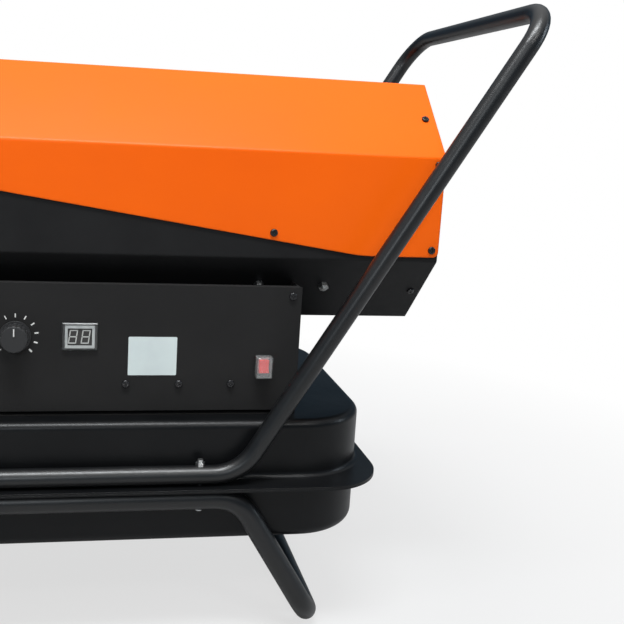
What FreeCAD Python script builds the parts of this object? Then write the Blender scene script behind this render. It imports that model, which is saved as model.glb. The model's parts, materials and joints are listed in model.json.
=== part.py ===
import FreeCAD, Part
import math
import os
from FreeCAD import Vector

# Diesel space heater on a tube frame with two wheels, in millimetres.
# +X points to the rear (air intake and handle), -X to the hot-air outlet, +Z up.
# The control panel is on the -Y side. The origin is on the floor, under the middle of the box.

# Clearances
TOUCH_GAP = 0.2
SHELL_GAP = 0.3
HOLE_GAP = 0.15
RUN_GAP = 0.05
SLIDE_GAP = 0.4

# Octagonal body
BODY_FLATS = 278.0
BODY_LENGTH = 770.0
BODY_ABOVE_TANK = 90.0
BODY_SHEET = 1.2
BODY_BEND_R = 4.0
LAP_BELOW_CREASE = 6.0
SPLIT_REAR_DROP = 52.0
SPLIT_FRONT_RISE = 37.0
SPLIT_REAR_FLAT = 88.0
SPLIT_FRONT_FLAT = 88.0
SPLIT_KNEE_R = 160.0
SPLIT_CORNER_R = 6.0

# End frames, intake guard and outlet
END_RECESS = 6.0
END_SHEET = 1.5
END_LIP = 20.0
INTAKE_R = 121.0
GUARD_WIRE_R = 1.6
GUARD_RINGS = 6
GUARD_HUB_R = 22.0
GUARD_SPOKES = 8
OUTLET_R = 103.0
OUTLET_WALL = 1.5
OUTLET_LIP = 20.0
OUTLET_FLANGE = 14.0
OUTLET_ROLL_R = 3.0
OUTLET_SLEEVE = 14.0

# Combustion chamber
SHIELD_R = 100.0
SHIELD_WALL = 1.0
SHIELD_START = 24.0
SHIELD_SHORT = 8.0
CHAMBER_R = 84.0
CHAMBER_WALL = 1.5
CHAMBER_START = 16.0
CHAMBER_LENGTH = 372.0
CHAMBER_PIN_R = 3.0
CHAMBER_PIN_INSET = 40.0
CHAMBER_PIN_ANGLES = (90.0, 210.0, 330.0)
BURNER_HOLE_R = 40.0
BAFFLE_R = 62.0
BAFFLE_SHEET = 2.0
BAFFLE_DEPTH = 3.0
BAFFLE_HOLE_R = 16.0
BAFFLE_SLOTS = 8
BAFFLE_SLOT_R = 5.0
BAFFLE_SLOT_IN = 28.0
BAFFLE_SLOT_OUT = 48.0
BAFFLE_ARM_WIDTH = 14.0
CRADLE_SHEET = 2.0
CRADLE_WIDTH = 100.0
CRADLE_HEIGHT = 66.0
CRADLE_INSETS = (60.0, 320.0)

# Burner
BURNER_PLATE_R = 62.0
BURNER_PLATE_SHEET = 2.0
BURNER_CONE_R = 26.0
BURNER_CONE_LENGTH = 30.0
SWIRL_VANES = 8
SWIRL_VANE_SHEET = 1.5
SWIRL_VANE_RISE = 12.0
NOZZLE_R = 8.0
NOZZLE_LENGTH = 26.0
ADAPTER_WIDTH = 26.0
ADAPTER_THICK = 20.0
ADAPTER_DROP = 46.0
ADAPTER_RISE = 14.0
ELECTRODE_R = 3.5
ELECTRODE_WIRE_R = 1.2
ELECTRODE_SPREAD = 20.0
ELECTRODE_BASE = 26.0
ELECTRODE_TIP = 20.0
ELECTRODE_TAIL = 10.0
SENSOR_R = 9.0
SENSOR_LENGTH = 30.0
SENSOR_OFFSET = 46.0
HOSE_R = 3.5
HOSE_BORE_R = 2.0
HOSE_BEND_R = 30.0
AIR_HOSE_Y = 126.0

# Motor, fan and air pump
MOTOR_BOLT_REAR = 119.0
MOTOR_BOLT_PITCH = 74.5
MOTOR_BOLT_DROP = 91.0
MOTOR_R = 55.0
MOTOR_WALL = 3.0
MOTOR_LENGTH = 104.0
MOTOR_END = 7.0
MOTOR_FOOT_WIDTH = 84.0
MOTOR_FOOT_LENGTH = 22.0
MOTOR_FOOT_THICK = 5.0
STATOR_BORE_R = 27.0
STATOR_LENGTH = 54.0
ROTOR_AIR_GAP = 0.5
SHAFT_R = 5.0
BEARING_R = 13.0
BRACKET_SHEET = 2.5
BRACKET_MARGIN = 14.0
BRACKET_PAD = 30.0
FAN_R = 122.0
FAN_HUB_R = 30.0
FAN_HUB_LENGTH = 34.0
FAN_HUB_WALL = 3.0
FAN_BLADES = 5
FAN_BLADE_SHEET = 2.0
FAN_BLADE_ANGLE = 32.0
FAN_BLADE_SWEEP = 58.0
FAN_STANDOFF = 8.0
PUMP_R = 40.0
PUMP_LENGTH = 22.0
PUMP_BORE_R = 30.0
PUMP_OFFSET = 3.0
PUMP_ROTOR_R = 26.4
PUMP_END_GAP = 0.3
PUMP_VANES = 4
PUMP_VANE_THICK = 4.0
PUMP_VANE_DEPTH = 14.0
PUMP_COVER = 6.0
FILTER_R = 36.0
FILTER_DEPTH = 20.0
FILTER_WALL = 2.0
FITTING_R = 6.0
FITTING_LENGTH = 8.0

# Fuel tank
TANK_AHEAD = 133.0
TANK_WIDTH = 348.0
TANK_BEHIND = 70.0
TANK_SHEET = 1.5
TANK_CORNER_R = 76.0
TANK_UPPER_DEPTH = 65.1
TANK_LOWER_DEPTH = 69.4
TANK_SHOULDER_R = 8.5
TANK_BASE_R = 11.0
FLANGE_Z = 172.4
FLANGE_SHEET = 2.0
FLANGE_SIDE = 29.0
FLANGE_END = 12.0
FLANGE_CORNER_R = 65.0
FLANGE_FILLET_R = 5.5
FILLER_FROM_FRONT = 66.0
FILLER_Y = -92.0
NECK_R = 25.0
NECK_WALL = 2.5
NECK_RISE = 20.0
NECK_SINK = 8.0
NECK_COLLAR_R = 36.0
NECK_COLLAR = 1.5
SEAL_THICK = 2.5
CAP_R = 33.0
CAP_TOP = 5.0
CAP_SKIRT_CLEAR = 3.0
CAP_GRIPS = 10
CAP_GRIP_R = 4.0
CAP_EDGE_R = 2.0
PICKUP_R = 4.0
PICKUP_BORE_R = 2.5
PICKUP_FLANGE_R = 16.0
PICKUP_FLANGE = 4.0
STRAINER_R = 12.0
STRAINER_LENGTH = 26.0
PICKUP_FLOOR_GAP = 8.0
DRAIN_ABOVE_BASE = 12.0
DRAIN_R = 6.0
DRAIN_WASHER_R = 11.0
DRAIN_WASHER = 1.5

# Control box on the tank
BOX_LENGTH = 430.0
BOX_BEHIND = 155.0
BOX_HALF = 152.0
BOX_SHEET = 1.5
PANEL_ABOVE_TANK = 5.5
PANEL_HEIGHT = 136.5
PANEL_LIP = 8.0
LEDGE_DROP = 17.0
TAB_WIDTH = 18.0
PANEL_SCREW_INSET = 10.0
PANEL_ROW_RISE = 29.7
PANEL_ROW_BEHIND = 73.3
PANEL_ROW_PITCH = 56.0
PANEL_ROW_COUNT = 3
LOUVRES = 6
LOUVRE_PITCH = 26.0
LOUVRE_LENGTH = 60.0
LOUVRE_HEIGHT = 5.0
DISPLAY_BEHIND = 233.4
DISPLAY_DROP = 55.7
BEZEL_WIDTH = 36.2
BEZEL_HEIGHT = 28.8
BEZEL_PROUD = 2.4
BEZEL_COLLAR = 1.6
BEZEL_DEPTH = 7.0
WINDOW_WIDTH = 26.0
WINDOW_HEIGHT = 19.2
MODULE_SINK = 0.8
BOARD_SHEET = 1.6
BOARD_BEHIND = 9.0
BOARD_MARGIN_X = 30.0
BOARD_MARGIN_Z = 22.0
STANDOFF_R = 3.0
STANDOFF_INSET = 6.0
SWITCH_BEHIND = 38.6
SWITCH_DROP = 87.0
COVER_HALF_X = 8.8
COVER_HALF_Z = 11.9
COVER_WALL = 1.1
COVER_PROUD = 10.5
COVER_EDGE_R = 1.2
SWITCH_FLANGE = 1.8
SWITCH_WALL = 1.4
SWITCH_DEPTH = 16.0
ROCKER_HALF_X = 5.2
ROCKER_HALF_Z = 7.2
ROCKER_HORN = 6.0
ROCKER_VALLEY = 4.3
ROCKER_BACK = 3.0
ROCKER_PIVOT = 0.5
ROCKER_PIN_R = 1.2
ROCKER_THROW = 20.0
KNOB_AHEAD = 65.0
KNOB_R = 14.0
KNOB_HEIGHT = 17.0
KNOB_SKIRT_R = 16.0
KNOB_SKIRT = 3.0
KNOB_FLUTES = 16
KNOB_FLUTE_R = 1.6
KNOB_LIFT = 0.8
KNOB_STEM_R = 3.0
POT_R = 12.0
POT_DEPTH = 11.0
POT_BUSH_R = 4.6
POT_BUSH_PROUD = 5.0
POT_NUT_FLATS = 12.0
POT_NUT = 2.4
TRANSFORMER_SIZE = (84.0, 70.0, 52.0)
LEAD_R = 3.0
GLAND_FROM_FRONT = 46.0
GLAND_RISE = 25.0
GLAND_R = 9.0
GLAND_BORE_R = 4.5
GLAND_NUT_FLATS = 22.0
GLAND_NUT = 6.0
GLAND_PROUD = 16.0
GLAND_INSIDE = 9.0

# Tube frame, handle and wheels
SIDE_TUBE_OUT = 13.0
TUBE_WALL = 1.5
HANDLE_D = 20.0
FRAME_D = 23.5
LEAN_ANGLE = 31.3
CORNER_BEHIND = 220.0
HANDLE_ABOVE_BODY = 75.5
HANDLE_LOW_R = 50.0
HANDLE_TOP_R = 46.0
FRAME_BEND_R = 45.0
FOOT_BEND_R = 34.0
FRONT_CORNER_AHEAD = 100.0
HANDLE_FRONT_AHEAD = 80.0
AXLE_TAIL = 14.0
BOLT_REAR_AHEAD = 42.0
BOLT_FRONT_AHEAD = 52.0
BOLT_R = 3.0
BOLT_NUT_FLATS = 10.0
BOLT_NUT = 5.0
BOLT_HEAD = 4.0
FRAME_NUT_FLATS = 8.6
FRAME_NUT = 4.2
FRAME_NUT_TAIL = 3.0
FRAME_HEAD_R = 3.8
FRAME_HEAD = 1.0
BOLT_TAIL = 4.0
PLUG_HEAD = 3.0
PLUG_STEM = 12.0
WHEEL_R = 80.0
WHEEL_WIDTH = 38.0
TYRE_DEPTH = 20.0
TYRE_CROWN_R = 9.0
TREAD_GROOVES = 2
TREAD_PITCH = 9.0
TREAD_WIDTH = 2.4
TREAD_DEPTH = 1.6
RIM_WEB = 8.0
RIM_BAND = 6.0
RIM_HOLES = 6
RIM_HOLE_R = 10.0
HUB_R = 17.0
HUB_WIDTH = 40.0
AXLE_R = 7.0
WHEEL_GAP = 0.3
WASHER_R = 13.0
WASHER = 3.0
AXLE_CAP_R = 12.0
AXLE_CAP = 7.0

# Screws
SCREW_HEAD_R = 4.2
SCREW_HEAD = 2.4
SCREW_SHANK_R = 1.9
SCREW_LENGTH = 7.0
SCREW_CROSS = 4.4
SCREW_CROSS_WIDTH = 0.9
SCREW_CROSS_DEPTH = 1.2
SCREW_END_INSET = 8.0
SCREW_SLANT_INSET = 12.0
SCREW_EDGE_INSET = 8.0
SIDE_SCREW_BEHIND = 187.0
SIDE_SCREW_AHEAD = 250.0

# Places worked out from the sizes above
X_AXIS = Vector(1, 0, 0)
Y_AXIS = Vector(0, 1, 0)
Z_AXIS = Vector(0, 0, 1)
LEAN = math.tan(math.radians(LEAN_ANGLE))
HALF_SIDE = math.tan(math.radians(22.5))
TANK_TOP_Z = FLANGE_Z + TANK_UPPER_DEPTH
TANK_BOTTOM_Z = FLANGE_Z - TANK_LOWER_DEPTH
LOWER_FLATS = BODY_FLATS - 2 * (BODY_SHEET + SHELL_GAP)
BODY_AXIS_Z = TANK_TOP_Z + BODY_ABOVE_TANK + LOWER_FLATS / 2
SPLIT_REAR_Z = BODY_AXIS_Z - SPLIT_REAR_DROP
SPLIT_FRONT_Z = BODY_AXIS_Z + SPLIT_FRONT_RISE
HANDLE_BAR_Z = BODY_AXIS_Z + BODY_FLATS / 2 + HANDLE_ABOVE_BODY
SIDE_TUBE_Y = TANK_WIDTH / 2 + SIDE_TUBE_OUT
HANDLE_RUN_Z = FLANGE_Z + FLANGE_SHEET + HANDLE_D / 2
FRAME_RUN_Z = FLANGE_Z - FLANGE_SHEET - FRAME_D / 2
BAR_REACH = LEAN * (HANDLE_BAR_Z - HANDLE_RUN_Z) - CORNER_BEHIND
REAR_X = (BODY_LENGTH + OUTLET_LIP - BAR_REACH - HANDLE_D / 2) / 2
FRONT_X = REAR_X - BODY_LENGTH
CORNER_X = REAR_X - CORNER_BEHIND
BAR_X = REAR_X + BAR_REACH
AXIS_POINT = Vector(0, 0, BODY_AXIS_Z)
CREASE_Z = BODY_AXIS_Z + HALF_SIDE * BODY_FLATS / 2
LOWER_BOTTOM_Z = BODY_AXIS_Z - LOWER_FLATS / 2
LINER_FLATS = LOWER_FLATS - 2 * (BODY_SHEET + TOUCH_GAP)
BOX_REAR_X = REAR_X - BOX_BEHIND
BOX_FRONT_X = BOX_REAR_X - BOX_LENGTH
TANK_REAR_X = REAR_X - TANK_BEHIND
TANK_FRONT_X = BOX_FRONT_X - TANK_AHEAD
PANEL_Y = -BOX_HALF
PANEL_BACK_Y = PANEL_Y + BOX_SHEET
PANEL_BOTTOM_Z = TANK_TOP_Z + PANEL_ABOVE_TANK
PANEL_TOP_Z = PANEL_BOTTOM_Z + PANEL_HEIGHT
PANEL_ROW_Z = PANEL_BOTTOM_Z + PANEL_ROW_RISE
DISPLAY_X = BOX_REAR_X - DISPLAY_BEHIND
DISPLAY_Z = PANEL_TOP_Z - DISPLAY_DROP
SWITCH_X = BOX_REAR_X - SWITCH_BEHIND
SWITCH_Z = PANEL_TOP_Z - SWITCH_DROP
KNOB_X = DISPLAY_X - KNOB_AHEAD
GLAND_Z = PANEL_BOTTOM_Z + GLAND_RISE
MOTOR_BOLT_Z = BODY_AXIS_Z - MOTOR_BOLT_DROP
LEDGE_Z = PANEL_TOP_Z - LEDGE_DROP
BOX_FLOOR_Z = TANK_TOP_Z + BOX_SHEET
MOTOR_MID_X = REAR_X - MOTOR_BOLT_REAR - MOTOR_BOLT_PITCH / 2
MOTOR_REAR_X = MOTOR_MID_X + MOTOR_LENGTH / 2
MOTOR_FRONT_X = MOTOR_MID_X - MOTOR_LENGTH / 2
PUMP_REAR_X = MOTOR_REAR_X + PUMP_LENGTH
CHAMBER_REAR_X = FRONT_X + CHAMBER_START + CHAMBER_LENGTH
ADAPTER_X = CHAMBER_REAR_X + BURNER_PLATE_SHEET
HOSE_X = ADAPTER_X + ADAPTER_THICK / 2
LEAD_X = ADAPTER_X + ADAPTER_THICK + ELECTRODE_TAIL / 2
HOSE_Z = BODY_AXIS_Z - ADAPTER_DROP + FITTING_R
FOOT_X = CORNER_X + LEAN * (FRAME_RUN_Z - FRAME_D / 2)
FRONT_CORNER_X = TANK_FRONT_X + FRONT_CORNER_AHEAD
AXLE_X = FRONT_CORNER_X - LEAN * (FRAME_RUN_Z - WHEEL_R)
WHEEL_IN_Y = SIDE_TUBE_Y + FRAME_D / 2 + TOUCH_GAP + WASHER + WHEEL_GAP
WHEEL_MID_Y = WHEEL_IN_Y + HUB_WIDTH / 2
FILLER_X = TANK_FRONT_X + FILLER_FROM_FRONT
NECK_TOP_Z = TANK_TOP_Z + NECK_RISE
SLANT_SUM = LOWER_FLATS / 2 * (1 + HALF_SIDE)


# Building blocks
def box(x0, x1, y0, y1, z0, z1):
    return Part.makeBox(x1 - x0, y1 - y0, z1 - z0, Vector(x0, y0, z0))


def rod(radius, start, end):
    along = end - start
    return Part.makeCylinder(radius, along.Length, start, along)


def pipe(radius, bore, start, end):
    return rod(radius, start, end).cut(rod(bore, start, end))


def joined(shapes):
    """One solid from pieces that overlap or share faces."""
    return shapes[0].multiFuse(shapes[1:]).removeSplitter()


def group(shapes):
    return Part.makeCompound(shapes)


def rounded_wire(points, radii, closed):
    """Straight runs joined by tangent arcs, with one radius per point."""
    count = len(points)
    ends = []
    edges = []
    for i, point in enumerate(points):
        is_end = not closed and i in (0, count - 1)
        if is_end or radii[i] == 0:
            ends.append((point, point))
            continue
        to_last = (points[i - 1] - point).normalize()
        to_next = (points[(i + 1) % count] - point).normalize()
        half = to_last.getAngle(to_next) / 2
        reach = radii[i] / math.tan(half)
        middle = (to_last + to_next).normalize()
        deep = radii[i] / math.sin(half) - radii[i]
        first = point + to_last * reach
        second = point + to_next * reach
        ends.append((first, second))
        edges.append(Part.Arc(first, point + middle * deep, second).toShape())
    for i in range(count if closed else count - 1):
        leave = ends[i][1]
        arrive = ends[(i + 1) % count][0]
        if (arrive - leave).Length > 1e-6:
            edges.append(Part.LineSegment(leave, arrive).toShape())
    return Part.Wire(Part.__sortEdges__(edges))


def plate(points, radii, along):
    return Part.Face(rounded_wire(points, radii, True)).extrude(along)


def octagon(flats, x0, x1, corner_r):
    """Regular octagon prism along X, flat side up, on the body's axis."""
    half = flats / 2
    side = half * HALF_SIDE
    corners = [(half, -side), (half, side), (side, half), (-side, half),
               (-half, side), (-half, -side), (-side, -half), (side, -half)]
    points = [Vector(x0, y, BODY_AXIS_Z + z) for y, z in corners]
    return plate(points, [corner_r] * 8, X_AXIS * (x1 - x0))


def round_box(x0, x1, y0, y1, z0, z1, corner_r):
    """Block with its four upright edges rounded."""
    points = [Vector(x0, y0, z0), Vector(x1, y0, z0), Vector(x1, y1, z0), Vector(x0, y1, z0)]
    return plate(points, [corner_r] * 4, Z_AXIS * (z1 - z0))


def turned(profile, origin, axis, up):
    """Solid of revolution: profile points are (along the axis, out from the axis)."""
    points = [origin + axis * along + up * out for along, out in profile]
    face = Part.Face(Part.makePolygon(points + [points[0]]))
    return face.revolve(origin, axis, 360)


def swept_tube(points, radii, outer_r, bore_r):
    path = rounded_wire(points, radii, False)
    start = points[0]
    along = points[1] - points[0]
    solids = []
    for radius in (outer_r, bore_r):
        ring = Part.Wire(Part.makeCircle(radius, start, along))
        solids.append(Part.Wire(path.Edges).makePipeShell([ring], True, False))
    return solids[0].cut(solids[1])


def hex_prism(flats, start, along):
    """Hexagonal nut or bolt head blank."""
    face = Part.Face(Part.makePolygon([
        Vector(flats / math.sqrt(3), 0, 0) if i % 6 == 0 else
        Vector(flats / math.sqrt(3) * math.cos(i * math.pi / 3),
               flats / math.sqrt(3) * math.sin(i * math.pi / 3), 0)
        for i in range(7)]))
    solid = face.extrude(Z_AXIS * along.Length)
    return placed(solid, start, along)


def placed(shape, position, axis):
    """A copy with its own +Z turned to the axis and its origin at the position."""
    copy = shape.copy()
    copy.Placement = FreeCAD.Placement(position, FreeCAD.Rotation(Z_AXIS, axis))
    return copy


def mirrored(shape):
    return shape.mirror(Vector(0, 0, 0), Y_AXIS)


def both_sides(shapes):
    return shapes + [mirrored(shape) for shape in shapes]


def pan_screw():
    """Cross-recess pan-head screw, seat at z = 0 and head on the +Z side."""
    head = Part.makeCylinder(SCREW_HEAD_R, SCREW_HEAD)
    rim = [e for e in head.Edges if e.BoundBox.ZMin > SCREW_HEAD - 0.01]
    head = head.makeFillet(SCREW_HEAD * 0.6, rim)
    half = SCREW_CROSS / 2
    thin = SCREW_CROSS_WIDTH / 2
    floor = SCREW_HEAD - SCREW_CROSS_DEPTH
    head = head.cut(box(-half, half, -thin, thin, floor, SCREW_HEAD))
    head = head.cut(box(-thin, thin, -half, half, floor, SCREW_HEAD))
    return joined([head, rod(SCREW_SHANK_R, Z_AXIS * -SCREW_LENGTH, Vector(0, 0, 0))])


SCREW = pan_screw()


def drilled(shape, seats, radius):
    """Holes along each (point, outward axis) seat."""
    for point, axis in seats:
        shape = shape.cut(rod(radius, point - axis * SCREW_LENGTH * 2, point + axis))
    return shape


# Seats of the screws that hold the body's sheets, on both sides
def slant_axis(sign):
    return Vector(0, -math.sqrt(0.5), sign * math.sqrt(0.5))


def split_z(x):
    """Height of the orange sheet's lower edge, on its slope."""
    low_x = REAR_X - SPLIT_REAR_FLAT
    high_x = FRONT_X + SPLIT_FRONT_FLAT
    share = min(max((low_x - x) / (low_x - high_x), 0.0), 1.0)
    return SPLIT_REAR_Z + share * (SPLIT_FRONT_Z - SPLIT_REAR_Z)


def slant_seat(x, flats, sign):
    """Middle of a sloping face of the octagon."""
    reach = flats / 2 / math.sqrt(2)
    return Vector(x, -reach, BODY_AXIS_Z + sign * reach)


def body_screw_seats():
    side = -BODY_FLATS / 2
    upper = []
    lower = []
    for end_x, inward, low_z in ((REAR_X, -1, SPLIT_REAR_Z), (FRONT_X, 1, SPLIT_FRONT_Z)):
        edge_x = end_x + inward * SCREW_END_INSET
        slant_x = end_x + inward * SCREW_SLANT_INSET
        upper.append((Vector(edge_x, side, low_z + SCREW_EDGE_INSET), -Y_AXIS))
        upper.append((slant_seat(slant_x, BODY_FLATS, 1), slant_axis(1)))
        lower.append((slant_seat(slant_x, LOWER_FLATS, -1), slant_axis(-1)))
    rear_top = Vector(REAR_X - SCREW_END_INSET, side, CREASE_Z - SCREW_EDGE_INSET)
    upper.append((rear_top, -Y_AXIS))
    for x in (REAR_X - SIDE_SCREW_BEHIND, FRONT_X + SIDE_SCREW_AHEAD):
        upper.append((Vector(x, side, split_z(x) + SCREW_EDGE_INSET), -Y_AXIS))
    return upper, lower


def mirrored_seats(seats):
    flip = [(Vector(p.x, -p.y, p.z), Vector(a.x, -a.y, a.z)) for p, a in seats]
    return seats + flip


UPPER_SEATS, LOWER_SEATS = (mirrored_seats(seats) for seats in body_screw_seats())
SCREW_HOLE_R = SCREW_SHANK_R + HOLE_GAP


def motor_bolt_seats():
    out = SLANT_SUM - (BODY_AXIS_Z - MOTOR_BOLT_Z)
    xs = (REAR_X - MOTOR_BOLT_REAR, REAR_X - MOTOR_BOLT_REAR - MOTOR_BOLT_PITCH)
    return mirrored_seats([(Vector(x, -out, MOTOR_BOLT_Z), slant_axis(-1)) for x in xs])


# Body sheets
def below_split():
    """Everything under the orange sheet's lower edge."""
    floor_z = BODY_AXIS_Z - BODY_FLATS
    y0 = -BODY_FLATS
    knee_x = REAR_X - SPLIT_REAR_FLAT
    heel_x = FRONT_X + SPLIT_FRONT_FLAT
    r = SPLIT_CORNER_R
    over = 1.0
    outline = [
        (FRONT_X - over, floor_z, 0), (REAR_X + over, floor_z, 0),
        (REAR_X + over, SPLIT_REAR_Z, 0), (knee_x, SPLIT_REAR_Z, SPLIT_KNEE_R),
        (heel_x, SPLIT_FRONT_Z, SPLIT_KNEE_R), (FRONT_X - over, SPLIT_FRONT_Z, 0)]
    points = [Vector(x, y0, z) for x, z, _ in outline]
    region = plate(points, [radius for _, _, radius in outline], Y_AXIS * 2 * BODY_FLATS)
    for end_x, inward, z in ((REAR_X, -1, SPLIT_REAR_Z), (FRONT_X, 1, SPLIT_FRONT_Z)):
        xs = sorted((end_x, end_x + inward * r))
        corner = box(xs[0], xs[1], y0, -y0, z, z + r)
        centre = Vector(end_x + inward * r, y0, z + r)
        region = region.fuse(corner.cut(rod(r, centre, centre + Y_AXIS * 2 * BODY_FLATS)))
    return region


def upper_shell():
    outer = octagon(BODY_FLATS, FRONT_X, REAR_X, BODY_BEND_R)
    inner = octagon(BODY_FLATS - 2 * BODY_SHEET, FRONT_X - 1, REAR_X + 1, BODY_BEND_R - BODY_SHEET)
    return drilled(outer.cut(inner).cut(below_split()), UPPER_SEATS, SCREW_HOLE_R)


def lower_shell():
    outer = octagon(LOWER_FLATS, FRONT_X, REAR_X, BODY_BEND_R)
    inner = octagon(LOWER_FLATS - 2 * BODY_SHEET, FRONT_X - 1, REAR_X + 1, BODY_BEND_R - BODY_SHEET)
    lap_z = CREASE_Z - LAP_BELOW_CREASE - SCREW_EDGE_INSET - SCREW_HEAD_R
    shell = outer.cut(inner)
    shell = shell.cut(box(FRONT_X - 1, REAR_X + 1, -BODY_FLATS, BODY_FLATS, lap_z, lap_z + BODY_FLATS))
    shell = drilled(shell, UPPER_SEATS + LOWER_SEATS, SCREW_HOLE_R)
    shell = drilled(shell, motor_bolt_seats(), BOLT_R + HOLE_GAP)
    leads = [(LEAD_X, s * ELECTRODE_SPREAD, LEAD_R) for s in (-1, 1)]
    for x, y, radius in [(HOSE_X, 0, HOSE_R)] + leads:
        base = Vector(x, y, LOWER_BOTTOM_Z - 1)
        shell = shell.cut(rod(radius + HOLE_GAP, base, base + Z_AXIS * 5))
    return shell


def end_frame(face_x, inward, opening_r):
    """Octagonal end plate with a round opening and a lip that takes the screws."""
    x0, x1 = sorted((face_x, face_x + inward * END_SHEET))
    sheet = octagon(LINER_FLATS, x0, x1, BODY_BEND_R)
    x0, x1 = sorted((face_x, face_x + inward * END_LIP))
    lip = octagon(LINER_FLATS, x0, x1, BODY_BEND_R)
    lip = lip.cut(octagon(LINER_FLATS - 2 * END_SHEET, x0 - 1, x1 + 1, BODY_BEND_R - END_SHEET))
    centre = Vector(face_x, 0, BODY_AXIS_Z)
    frame = joined([sheet, lip]).cut(rod(opening_r, centre - X_AXIS * 9, centre + X_AXIS * 9))
    return drilled(frame, UPPER_SEATS + LOWER_SEATS, SCREW_HOLE_R)


def rear_end_frame():
    return end_frame(REAR_X - END_RECESS, -1, INTAKE_R)


def fan_guard():
    """Wire rings on crossed spokes, lying on the rear plate."""
    x = REAR_X - END_RECESS + GUARD_WIRE_R + TOUCH_GAP / 2
    centre = Vector(x, 0, BODY_AXIS_Z)
    outer_r = INTAKE_R + 2 * GUARD_WIRE_R
    step = (outer_r - GUARD_HUB_R) / (GUARD_RINGS - 1)
    wires = [Part.makeTorus(GUARD_HUB_R + i * step, GUARD_WIRE_R, centre, X_AXIS)
             for i in range(GUARD_RINGS)]
    back = X_AXIS * GUARD_WIRE_R * 1.1
    for i in range(GUARD_SPOKES):
        angle = math.radians(360 / GUARD_SPOKES * (i + 0.5))
        out = Vector(0, math.cos(angle), math.sin(angle))
        inner_end = centre + back + out * (GUARD_HUB_R - GUARD_WIRE_R * 2)
        outer_end = centre + back + out * (outer_r + GUARD_WIRE_R * 0.5)
        wires.append(rod(GUARD_WIRE_R, inner_end, outer_end))
    return wires[0].multiFuse(wires[1:])


def front_end_frame():
    return end_frame(FRONT_X + END_RECESS, 1, OUTLET_R + TOUCH_GAP)


def outlet_ring():
    """Spigot with a rolled lip and a flange that lies on the front plate."""
    face_x = FRONT_X + END_RECESS
    bore = OUTLET_R - OUTLET_WALL
    tip = FRONT_X - OUTLET_LIP
    roll = OUTLET_ROLL_R
    profile = [(face_x + OUTLET_SLEEVE, bore), (tip, bore), (tip, OUTLET_R + roll),
               (tip + roll, OUTLET_R + roll), (tip + roll, OUTLET_R),
               (face_x - OUTLET_WALL, OUTLET_R), (face_x - OUTLET_WALL, OUTLET_R + OUTLET_FLANGE),
               (face_x, OUTLET_R + OUTLET_FLANGE), (face_x, OUTLET_R), (face_x + OUTLET_SLEEVE, OUTLET_R)]
    return turned(profile, AXIS_POINT, X_AXIS, Z_AXIS)


def body_screws():
    return group([placed(SCREW, point, axis) for point, axis in UPPER_SEATS + LOWER_SEATS])


# Combustion chamber
def heat_shield():
    start = AXIS_POINT + X_AXIS * (FRONT_X + SHIELD_START)
    end = AXIS_POINT + X_AXIS * (CHAMBER_REAR_X - SHIELD_SHORT)
    return pipe(SHIELD_R, SHIELD_R - SHIELD_WALL, start, end)


def combustion_chamber():
    x0 = FRONT_X + CHAMBER_START
    inner = CHAMBER_R - CHAMBER_WALL
    wall = CHAMBER_WALL
    profile = [(x0, CHAMBER_R), (CHAMBER_REAR_X, CHAMBER_R), (CHAMBER_REAR_X, BURNER_HOLE_R),
               (CHAMBER_REAR_X - wall, BURNER_HOLE_R), (CHAMBER_REAR_X - wall, inner), (x0, inner)]
    return turned(profile, AXIS_POINT, X_AXIS, Z_AXIS)


def chamber_pins():
    """Radial spacers between the chamber and its shield."""
    pins = []
    for x in (FRONT_X + SHIELD_START + CHAMBER_PIN_INSET, CHAMBER_REAR_X - CHAMBER_PIN_INSET):
        for degrees in CHAMBER_PIN_ANGLES:
            angle = math.radians(degrees)
            out = Vector(0, math.cos(angle), math.sin(angle))
            centre = AXIS_POINT + X_AXIS * x
            far = centre + out * SHIELD_R
            pin = rod(CHAMBER_PIN_R, centre + out * (CHAMBER_R - CHAMBER_WALL), far)
            ends = X_AXIS * (2 * CHAMBER_PIN_R)
            pin = pin.common(rod(SHIELD_R - SHIELD_WALL - TOUCH_GAP / 2, centre - ends, centre + ends))
            pins.append(pin.cut(rod(CHAMBER_R + TOUCH_GAP / 2, centre - ends, centre + ends)))
    return pins


def flame_baffle():
    """Slotted disc in the chamber's mouth, on three arms that reach the wall."""
    x0 = FRONT_X + CHAMBER_START + BAFFLE_DEPTH
    centre = AXIS_POINT + X_AXIS * x0
    thick = X_AXIS * BAFFLE_SHEET
    disc = pipe(BAFFLE_R, BAFFLE_HOLE_R, centre, centre + thick)
    half = BAFFLE_ARM_WIDTH / 2
    reach = CHAMBER_R - CHAMBER_WALL - TOUCH_GAP
    arms = []
    for degrees in CHAMBER_PIN_ANGLES:
        arm = box(x0, x0 + BAFFLE_SHEET, BAFFLE_R - half, CHAMBER_R, -half, half)
        arm.translate(AXIS_POINT)
        arm.rotate(AXIS_POINT, X_AXIS, degrees)
        arms.append(arm)
    baffle = joined([disc] + arms).common(rod(reach, centre - thick, centre + thick * 2))
    for i in range(BAFFLE_SLOTS):
        slot = [rod(BAFFLE_SLOT_R, Vector(x0 - 1, y, 0), Vector(x0 + BAFFLE_SHEET + 1, y, 0))
                for y in (BAFFLE_SLOT_IN, BAFFLE_SLOT_OUT)]
        slot.append(box(x0 - 1, x0 + BAFFLE_SHEET + 1, BAFFLE_SLOT_IN, BAFFLE_SLOT_OUT,
                        -BAFFLE_SLOT_R, BAFFLE_SLOT_R))
        cutter = joined(slot)
        cutter.translate(AXIS_POINT)
        cutter.rotate(AXIS_POINT, X_AXIS, 360 / BAFFLE_SLOTS * (i + 0.5))
        baffle = baffle.cut(cutter)
    return baffle


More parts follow.
